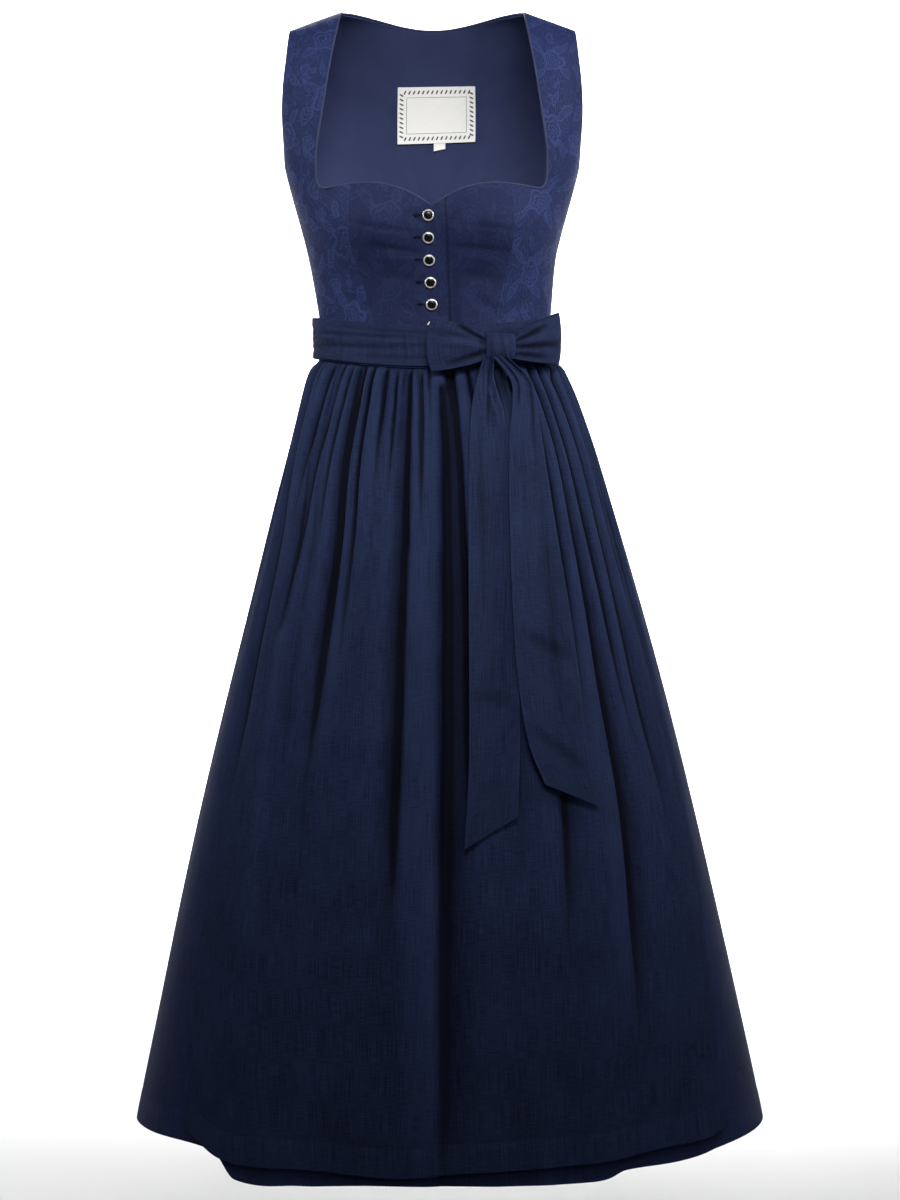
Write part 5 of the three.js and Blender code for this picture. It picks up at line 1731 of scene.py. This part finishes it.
@dataclass(frozen=True)
class Waist:
    """The apron's band, the ties wound over it, and the bow with its knot and two ends."""

    band_out: float = 6.3
    band_top: float = -327.0
    band_bottom: float = -368.0
    band_wall: float = 1.6
    band_right: float = 14.0
    band_left: float = 12.0
    tie_top: float = -324.0
    tie_bottom: float = -366.0
    tie_wall: float = 1.5
    layer_gap: float = 0.4
    tie_apart: float = 0.02
    crease_high: float = 0.5
    degree_long: float = 2.1
    wrap_radius: float = 110.0
    pull_reach: float = 26.0
    knot_x: float = 59.5
    knot_z: float = -359.0
    knot_wide: float = 15.5
    knot_high: float = 13.5
    knot_deep: float = 8.0
    knot_off: float = 0.7
    waist_radius: float = 108.0
    loop_wall: float = 1.4
    loop_off: float = 4.8
    loop_root: float = 2.2
    loop_end: float = 6.0
    end_roll: float = 1.2
    end_form_top: float = -376.0
    bunch_reach: float = 0.34
    bunch_long: float = 46.0
    share_long: float = 50.0
    squared: float = 0.92

    # Creases along the ties by their angle in degrees and their share of the height.
    wrap_creases: tuple[Crease, ...] = creases_of(
        (-176, 0.30, -104, 0.42, 2.6, 0.9), (-166, 0.62, -96, 0.70, 2.4, 0.8),
        (-150, 0.84, -82, 0.80, 2.2, 0.6), (-128, 0.16, -72, 0.22, 2.2, 0.7),
        (-178, 0.48, -140, 0.54, 2.4, -0.7), (-120, 0.55, -70, 0.56, 2.6, -0.6),
        (-40, 0.35, 6, 0.30, 2.6, 1.0), (-36, 0.66, 20, 0.74, 2.4, 0.8), (10, 0.45, 70, 0.36, 2.8, 0.9),
        (30, 0.80, 100, 0.70, 2.6, 0.8), (60, 0.22, 150, 0.30, 2.6, 0.9), (96, 0.55, 178, 0.48, 2.8, 0.9),
        (130, 0.78, 200, 0.72, 2.4, 0.7), (160, 0.18, 214, 0.26, 2.4, 0.7),
    )
    end_right: Table = Table(("z", "left", "right"), (
        (-370, 50.5, 60), (-392, 43, 60), (-423, 37, 69), (-455, 35, 75), (-488, 34, 79), (-600, 33.5, 82),
        (-757, 33.5, 84), (-828, 29, 82),
    ))
    end_left: Table = Table(("z", "left", "right"), (
        (-369.9, 60, 74), (-393, 77, 98), (-415, 79, 103), (-455, 75, 109), (-535, 75, 121), (-631, 78, 137),
        (-694, 82.5, 146), (-757, 93, 154), (-797, 108.8, 164),
    ))

    # Creases of a loop by their share of its reach and of its height.
    right_loop: tuple[Crease, ...] = creases_of(
        (0.05, 0.72, 0.62, 0.97, 3.2, 3.0), (0.05, 0.30, 0.75, 0.08, 3.4, 2.4),
        (0.10, 0.50, 0.80, 0.55, 4.0, -1.6), (0.30, 0.70, 0.90, 0.74, 3.4, 1.2),
    )
    left_loop: tuple[Crease, ...] = creases_of(
        (0.04, 0.68, 0.55, 0.86, 3.2, 3.2), (0.04, 0.42, 0.95, 0.40, 3.4, 2.6),
        (0.20, 0.55, 0.80, 0.62, 4.4, -1.8), (0.10, 0.20, 0.60, 0.10, 3.2, 1.8),
    )

    # Creases of a tie end by their share of its width and their height.
    right_end: tuple[Crease, ...] = creases_of(
        (0.70, -374, 0.45, -440, 3.2, 2.2), (0.55, -392, 0.85, -450, 3.0, -1.4),
        (0.22, -430, 0.30, -620, 4.0, 1.4), (0.75, -470, 0.62, -700, 4.4, -1.4),
        (0.10, -700, 0.90, -716, 6.0, 1.2),
    )
    left_end: tuple[Crease, ...] = creases_of(
        (0.30, -380, 0.20, -420, 3.2, 2.2), (0.80, -392, 0.70, -470, 3.6, 1.6),
        (0.45, -430, 0.40, -600, 4.4, -1.8), (0.05, -646, 0.95, -668, 7.0, 1.6),
        (0.05, -740, 0.90, -768, 7.0, 1.5), (0.72, -520, 0.60, -720, 4.6, 1.3),
    )

    def knot_angle(self) -> float:
        """Find the angle at which the knot sits."""
        return float(Section.of(BODICE, self.tie_bottom).front_angle(self.knot_x))

    def tie_out(self) -> float:
        """Find how far the ties' outer face lies off the bodice."""
        return self.band_out + self.layer_gap + self.tie_wall

    def band(self) -> Cloth:
        """Lay out the apron's band from side to side across the front."""
        u, v = shares(160, 12)
        angle = np.radians(lerp(-180 + self.band_right, -self.band_left, u))
        grid = FORM.waist_point(angle, lerp(self.band_bottom, self.band_top, v), self.band_out + 0 * u)
        return Cloth("apron_waistband_cloth", grid, self.band_wall)

    def wrap(self) -> Cloth:
        """Lay out the ties once round the waist, with soft creases along them and edges that roll back."""
        u, v = shares(320, 32)
        apart = math.radians(self.tie_apart)
        angle = lerp(self.knot_angle() + apart, self.knot_angle() + 2 * math.pi - apart, u)
        edge = np.sin(v * math.pi)
        wave = self.crease_high * (1 + np.sin(v * 9 + 2.2 * np.sin(angle * 2)) * edge)
        degrees = np.degrees(angle)
        high, long = self.tie_top - self.tie_bottom, self.degree_long
        turns = (0.0, 360 * long)
        creases = [crease.scaled(long, high, turn) for crease in self.wrap_creases for turn in turns]
        deep = pressed(degrees * long, v * high, creases)
        near = np.minimum(u, 1 - u) * 2 * math.pi * self.wrap_radius
        pull = bell(near / self.pull_reach) * np.sin(v * math.pi * 5 + 0.6) * 0.9
        out = self.tie_out() + wave - 1.7 * deep * edge ** 0.4 + pull * edge
        level = lerp(self.tie_bottom, self.tie_top, v)
        grid = FORM.waist_point(angle, level, out)
        # The fold mark is painted shade in the creases.
        return Cloth("apron_tie_wrap_cloth", grid, self.tie_wall, marks={"fold": np.clip(deep / 2.2, 0, 1)})

    def loop(self, name: str, way: float, start: float, reach: float, end_high: float, root_high: float,
             end_rise: float, creases: Sequence[Crease]) -> Cloth:
        """Lay out one loop: a strip that leaves the knot, turns and comes back in front of itself.

        The strip's length runs along half a sine, bunched at the knot into waves that fade towards its end.

        Args:
            name: the piece's name.
            way: -1 to the wearer's right and 1 to the left.
            start: where it leaves the knot's middle.
            reach: how far it goes from there.
            end_high: half its height at the end.
            root_high: half its height at the knot.
            end_rise: how much its end lies higher.
            creases: its creases by their share of the reach and of the height.

        Returns:
            The loop.
        """
        u, v = shares(128, 48)
        turn = u if way < 0 else 1 - u
        far = np.sin(turn * math.pi) ** 0.7
        spread = lerp(self.loop_root, self.loop_end, smooth(far, 0, 0.7))
        bunch = np.cos(v * math.pi * 5 + 0.7 + way) * 1.1 * bell(far / self.bunch_reach)
        long = self.share_long
        pressed_in = pressed(far * long, v * long, [crease.scaled(long, long) for crease in creases])
        deep = np.where(turn > 0.5, pressed_in, 0.0)
        way_out = np.where(turn > 0.5, 1.0, -0.3)
        belly = 2.2 * np.sin(v * math.pi) * np.sin(np.clip(far, 0, 1) * math.pi) * way_out
        out = self.tie_out() + self.loop_off + spread - spread * np.cos(math.pi * turn) + bunch - deep + belly
        high = lerp(root_high, end_high, far ** 0.8) * (1 + 0.05 * np.sin(far * math.pi))
        round_end = 1 - 0.07 * np.abs(2 * v - 1) ** 2.4
        angle = self.knot_angle() + way * (start + reach * far * round_end) / self.waist_radius
        grid = FORM.waist_point(angle, self.tie_bottom + 0 * u, out)
        grid[..., 2] = self.knot_z + end_rise * far + (v * 2 - 1) * high
        # The fold mark is painted shade in the creases and the bunched hollows.
        marks = {"fold": np.clip((deep + np.maximum(-bunch, 0)) / 3, 0, 1)}
        return Cloth(name, grid, self.loop_wall, marks=marks)

    def knot(self) -> Cloth:
        """Lay out the knot: a band round the loops' roots, pleated lengthwise and drawn in at its two mouths.

        Round the band goes a squared circle; across it the radius falls off at both ends.
        """
        s, t = np.meshgrid(np.linspace(0, 2 * math.pi, 97), np.linspace(-1, 1, 41))
        mouth, flare = 1 - 0.5 * np.abs(t) ** 2.6, 1 - 0.1 * np.abs(t) ** 3.0
        front = np.clip(np.cos(s), 0, 1)
        ridge = bell((t - 0.12 + 0.12 * np.sin(s)) / 0.1)
        pleat = 0.6 * np.cos(t * 9.5 + 0.7 * np.sin(s) + 0.8) + 0.7 * ridge
        pinch = 0.5 * np.sin(s * 3 + 1.0) * (1 - t * t)
        radius = 1 - (pleat * (0.35 + 0.65 * front) - pinch) * 0.085
        deep = squared_off(np.cos(s), self.squared) * self.knot_deep * mouth * radius
        up = squared_off(np.sin(s), self.squared) * self.knot_high * flare * radius
        across = t * self.knot_wide * (1 - 0.1 * np.abs(np.sin(s)) ** 2)
        seat = FORM.waist_point(np.array(self.knot_angle()), np.array(self.tie_bottom),
                                np.array(self.tie_out() + self.knot_off + self.knot_deep))
        facing = Section.of(BODICE, FORM.waist_form).normal(np.array(self.knot_angle()))
        side = np.array([-facing[1], facing[0], 0.0])
        grid = seat + facing * deep[..., None] + side * across[..., None]
        grid[..., 2] = self.knot_z + up
        # The fold mark is painted shade in the pleats, on the side that faces out.
        return Cloth("bow_knot_cloth", grid, 0.9, marks={"fold": np.clip(pleat / 2.2, 0, 1) * front})

    def tail(self, name: str, table: Table, clear: float, slant: tuple[float, float], bunch: float,
             creases: Sequence[Crease]) -> Cloth:
        """Lay out a tie end in front of the apron, bunched below the knot and cut slanting at its foot.

        Args:
            name: the piece's name.
            table: its two edges by height.
            clear: how far it hangs off the skirt's form.
            slant: how much lower its left and its right corner hang.
            bunch: the depth of the folds below the knot.
            creases: its creases by their share of the width and their height.

        Returns:
            The tie end.
        """
        u, v = shares(40, 180)
        bottom, top = table.rows[-1][0], table.rows[0][0]
        z = lerp(bottom, top, v)
        x = lerp(table.read(z, "left"), table.read(z, "right"), u)
        hang = (1 - v) ** 3 * lerp(slant[0], slant[1], u)
        form = Section.of(SKIRT, np.minimum(z + FORM.waist_dip * v ** 4, self.end_form_top))
        _, y = form.point(form.front_angle(x - form.shift))
        roll = self.end_roll * np.cos(u * 2 * math.pi)
        near = fall(np.clip(top - z, 0, None) / self.bunch_long, 1.3)
        gathered = bunch * np.cos(u * math.pi * 4 + 0.5) * near
        sway = 1.6 * np.sin(z / 61 + u * 1.4) * smooth(-z, 430, 560)
        long = self.share_long
        deep = pressed(u * long, z, [crease.scaled(long, 1) for crease in creases])
        grid = np.stack([x, y - clear - roll - gathered - sway + deep, z - hang], -1)
        # Painted highlight along the hemmed edges, and painted shade in the creases.
        hem_highlight = np.clip(bell(u / 0.05) + bell((1 - u) / 0.05), 0, 1) * 0.4
        return Cloth(name, grid, self.tie_wall, marks={"fold": np.clip(deep / 4, 0, 1), "hem": hem_highlight})

    def build(self) -> None:
        """Make the band, the wound ties, the bow and both tie ends."""
        settle_cloth(self.band(), APRON_CLOTH, Slot.APRON)
        right = self.loop("bow_loop_right_cloth", -1, 9.0, 48.0, 27, 11, 1, self.right_loop)
        left = self.loop("bow_loop_left_cloth", 1, 9.0, 66.0, 27, 10.5, 11, self.left_loop)
        right_end = self.tail("tie_end_right_cloth", self.end_right, 11.5, (32, 0), 1.6, self.right_end)
        left_end = self.tail("tie_end_left_cloth", self.end_left, 16, (0, 24), 1.8, self.left_end)
        knot = "bow_knot_cloth"
        for piece, held, rests_on in (
                (self.wrap(), Held.STRETCHED, "apron_waistband_cloth"), (right, Held.FOLDED, knot),
                (left, Held.FOLDED, knot), (self.knot(), Held.FOLDED, "apron_tie_wrap_cloth"),
                (right_end, Held.HUNG, knot), (left_end, Held.HUNG, knot)):
            settle_cloth(piece, TIE_CLOTH, Slot.TIE)


# The buttons and the label.


@dataclass(frozen=True)
class Buttons:
    """Six buttons, each a metal rim with a domed stone, and the worked buttonholes beside them."""

    radius: float = 6.0
    stone: float = 4.3
    dome: float = 1.1
    lift: float = 0.8
    first: float = -226.3
    pitch: float = 22.3
    count: int = 6
    top_off: float = -3.2
    bottom_off: float = -2.4
    hole_from: float = 1.0
    hole_to: float = 14.5
    hole_half: float = 1.1
    hole_square: float = 0.6
    hole_out: float = 0.15
    hole_steps: int = 44

    def seat(self, place: int) -> tuple[Array, Array]:
        """Find where a button sits on the right front, and the way that it faces."""
        level = np.array(self.first - place * self.pitch)
        off = np.array(lerp(self.top_off, self.bottom_off, place / (self.count - 1)))
        seat, above = FORM.bodice_front(off, level), FORM.bodice_front(off, level + 1)
        facing = unit(np.cross(seat - above, np.array([1.0, 0.0, 0.0])))
        return seat, facing if facing[1] < 0 else -facing

    def build_button(self, place: int) -> None:
        """Turn a button's rim and its stone, from profiles of a radius and a height."""
        seat, facing = self.seat(place)
        start = seat + facing * self.lift
        hole, edge = self.stone + 0.05, self.radius
        rim = [(hole, 0.2), (edge - 0.4, 0.2), (edge, 0.6), (edge, 1.3), (edge - 0.25, 1.9),
               (edge - 0.7, 2.35), (edge - 1.1, 2.5), (hole + 0.35, 2.35), (hole + 0.1, 2.1), (hole, 1.7),
               (hole, 0.2)]
        rise, brim = self.dome + 0.1, 1.8
        turns = np.linspace(0, 1, 12) * math.pi / 2
        top = [(self.stone * math.cos(turn), brim + rise * math.sin(turn)) for turn in turns]
        stone = [(0.4, 0.3), (self.stone - 0.2, 0.3), (self.stone, 0.6), *top[:-1], (0.05, brim + rise)]
        number = place + 1
        settle(turned(f"button_rim_{number}_metal", rim, start, facing, SILVER, ripple=0.012, ripples=24),
               Slot.METAL, f"button_rim_{number}")
        settle(turned(f"button_stone_{number}_polished", stone, start, facing, STONE),
               Slot.STONE, f"button_stone_{number}")

    def hole_outline(self, place: int) -> Line:
        """Walk round a buttonhole: a long slot with round ends, beside the button to the wearer's right.

        Args:
            place: the button's place from the top.

        Returns:
            The points, the directions across the outline and the outward directions.
        """
        _, facing = self.seat(place)
        turn = np.linspace(0, 2 * math.pi, self.hole_steps, endpoint=False)
        middle, half = (self.hole_from + self.hole_to) / 2, (self.hole_to - self.hole_from) / 2
        long = middle + squared_off(np.cos(turn), self.hole_square) * half
        off = lerp(self.top_off, self.bottom_off, place / (self.count - 1)) - long
        level = self.first - place * self.pitch + np.sin(turn) * self.hole_half
        points = FORM.bodice_front(off, level) + facing * self.hole_out
        ring = unit(np.roll(points, -1, 0) - np.roll(points, 1, 0))
        return points, unit(np.cross(facing, ring)), np.broadcast_to(facing, points.shape)

    def build(self) -> None:
        """Make all buttons, their buttonholes' stitches and a dark rod in each slot as painted shade."""
        for place in range(self.count):
            self.build_button(place)
        outlines = [self.hole_outline(place) for place in range(self.count)]
        settle(thread_run("buttonhole_stitches", outlines, 1.7, 0.34, DARK_THREAD), Slot.BODICE)
        # A dark rod in each slot is painted shade: the shade inside the slit.
        slots = []
        for points, _, out in outlines:
            middle = points.mean(axis=0, keepdims=True)
            slots.append((middle, unit(points[:1] - middle), out[:1]))
        long = self.hole_to - self.hole_from - 1.0
        settle(thread_run("buttonhole_slot_shade", slots, long, 0.5, DARK_THREAD), Slot.BODICE)


@dataclass(frozen=True)
class Labels:
    """The bare woven label with its stitched border, and the bare size tab under it."""

    wall: float = 1.0
    inner: float = 4.35

    # The left, right, lower and upper edge of the label and of the tab.
    frame: tuple[float, ...] = (-43.0, 43.0, -124.6, -64.0)
    tab_frame: tuple[float, ...] = (-3.0, 10.0, -132.4, -123.1)

    def patch(self, name: str, frame: tuple[float, ...], columns: int, rows: int, rise: float) -> Cloth:
        """Lay a patch on the inside of the back lining, its edges lifted a little towards the front.

        Args:
            name: the piece's name.
            frame: its left, right, lower and upper edge.
            columns: steps across.
            rows: steps up.
            rise: how far its edges are lifted.

        Returns:
            The patch.
        """
        left, right, bottom, top = frame
        u, v = shares(columns, rows)
        tilt = (1 - v) * lerp(1.2, -1.6, u) + v * lerp(0.6, -0.6, u)
        face = FORM.bodice_back(lerp(right, left, u) - BODICE.rows[0][5], lerp(bottom, top, v) + tilt)
        curl = rise * (np.abs(2 * u - 1) ** 6 * 0.6 + (1 - v) ** 5)
        grid = face - face_normals(face) * (self.inner + curl)[..., None]
        return Cloth(name, grid, self.wall)

    def build(self) -> None:
        """Make the label, its border of slanting stitches and the line inside it, and the tab."""
        label = self.patch("label_ribbon", self.frame, 60, 44, 0.8)
        inward = -label.normals()
        face = label.outer + inward * (label.wall + 0.05)
        rows, columns = face.shape[:2]
        left, right, bottom, top = self.frame

        def border(depth: float, pitch: float) -> list[Line]:
            """Walk the four sides of a frame at a depth in from the edge."""
            r, c = round(depth / (top - bottom) * (rows - 1)), round(depth / (right - left) * (columns - 1))
            across, up = slice(c, columns - c), slice(r, rows - r)
            sides = ((slice(r, r + 1), across), (slice(rows - 1 - r, rows - r), across),
                     (up, slice(c, c + 1)), (up, slice(columns - 1 - c, columns - c)))
            return [walked(face[side].reshape(-1, 3), inward[side].reshape(-1, 3), pitch) for side in sides]

        stitches = thread_run("label_border_stitches", border(5.0, 5.0), 4.7, 0.85, GREY_THREAD, slant=62)
        line = thread_run("label_inner_line", border(10.5, 1.5), 1.6, 0.35, PALE_THREAD)
        for made in (stitches, line):
            settle(made, Slot.LABEL)
        settle_cloth(label, RIBBON, Slot.LABEL)
        tab = self.patch("size_tab_ribbon", self.tab_frame, 20, 14, 1.2)
        settle_cloth(tab, RIBBON, Slot.LABEL)


# The studio.


@dataclass(frozen=True)
class Lamp:
    """A soft area light: where it stands, what it faces, its two sizes in metres and its power."""

    name: str
    at: Point
    towards: Point
    size: tuple[float, float]
    power: float
    spread: float = 180.0


@dataclass(frozen=True)
class Studio:
    """A pale floor that sweeps up into a backdrop, soft lights and the camera."""

    floor: float = -1.43
    camera_at: Point = (0.0148, -2.8, -0.516)
    focal_px: float = 2643.0
    image_high: float = 1200.0
    horizon_px: float = 500.0
    world: float = 0.06
    world_tint: tuple[float, float, float, float] = (0.96, 0.98, 1.0, 1.0)
    sensor: float = 36.0
    sweep_radius: float = 1.2
    sweep_back: float = 5.2
    sweep_reach: float = 7.0
    sweep_high: float = 3.2
    lamps: tuple[Lamp, ...] = (
        Lamp("key", (0.12, -1.7, 0.5), (0.0, 0.0, -0.2), (0.7, 0.5), 4.8, 61.0),
        Lamp("fill", (0.95, -2.1, 0.1), (0.05, 0.0, -0.35), (0.7, 0.7), 1.3, 74.0),
        Lamp("left_rim", (-1.5, -0.3, 0.3), (0.0, 0.0, -0.15), (0.4, 0.8), 3.4, 80.0),
        Lamp("right_rim", (1.5, -0.3, 0.3), (0.0, 0.0, -0.15), (0.4, 0.8), 4.4, 80.0),
        Lamp("back", (-0.5, 3.0, 1.5), (0.0, 0.0, -0.5), (0.9, 0.9), 11.5, 70.0),
        Lamp("backdrop_left", (-1.9, 2.4, 1.5), (-0.3, 5.2, -0.4), (1.4, 1.4), 230.0, 150.0),
        Lamp("backdrop_right", (1.9, 2.4, 1.5), (0.3, 5.2, -0.7), (1.4, 1.4), 230.0, 150.0),
    )

    def sweep(self) -> Piece:
        """Carry a profile across: a flat floor, a quarter circle and an upright wall."""
        turn = np.linspace(0, math.pi / 2, 25)
        radius, back, reach = self.sweep_radius, self.sweep_back, self.sweep_reach
        y = np.concatenate([[-reach, 0.0], back - radius + radius * np.sin(turn), [back]])
        z = np.concatenate([[0.0, 0.0], radius - radius * np.cos(turn), [self.sweep_high]]) + self.floor
        x = np.array([-reach, reach])
        points = np.stack(np.broadcast_arrays(x[None, :], y[:, None], z[:, None]), -1)
        at = np.arange(len(y) * 2).reshape(len(y), 2)
        quads = np.stack([at[:-1, 0], at[:-1, 1], at[1:, 1], at[1:, 0]], -1)
        return make_object("pale_sweep", points.reshape(-1, 3) / METRE, [quads], PALE)

    def light(self, lamp: Lamp) -> None:
        """Hang an area light."""
        data = bpy.data.lights.new(lamp.name, "AREA")
        data.shape = "RECTANGLE"
        data.size, data.size_y = lamp.size
        data.energy = lamp.power
        data.spread = math.radians(lamp.spread)
        made = bpy.data.objects.new(lamp.name, data)
        made.location = lamp.at
        way = np.array(lamp.towards) - np.array(lamp.at)
        made.rotation_euler = Vector(way.tolist()).to_track_quat("-Z", "Y").to_euler()
        bpy.context.scene.collection.objects.link(made)

    def build(self) -> None:
        """Set up the sweep, the lights, the world and the camera."""
        self.sweep()
        for lamp in self.lamps:
            self.light(lamp)
        world = bpy.data.worlds.new("studio")
        world.use_nodes = True
        background = world.node_tree.nodes["Background"]
        background.inputs["Color"].default_value = self.world_tint
        background.inputs["Strength"].default_value = self.world
        bpy.context.scene.world = world
        data = bpy.data.cameras.new("camera")
        data.sensor_width = self.sensor
        data.lens = self.focal_px / self.image_high * data.sensor_width
        data.shift_y = -(self.image_high / 2 - self.horizon_px) / self.image_high
        camera = bpy.data.objects.new("camera", data)
        camera.location = self.camera_at
        camera.rotation_euler = (math.pi / 2, 0.0, 0.0)
        bpy.context.scene.collection.objects.link(camera)
        bpy.context.scene.camera = camera
        bpy.context.scene.view_settings.view_transform = "Standard"


def main() -> None:
    """Build every sub-assembly in order."""
    logging.basicConfig(level=logging.INFO, format="%(name)s: %(message)s")
    Bodice().build()
    Labels().build()
    Buttons().build()
    Skirt().build()
    Waist().build()
    Studio().build()


if __name__ == "__main__":
    main()
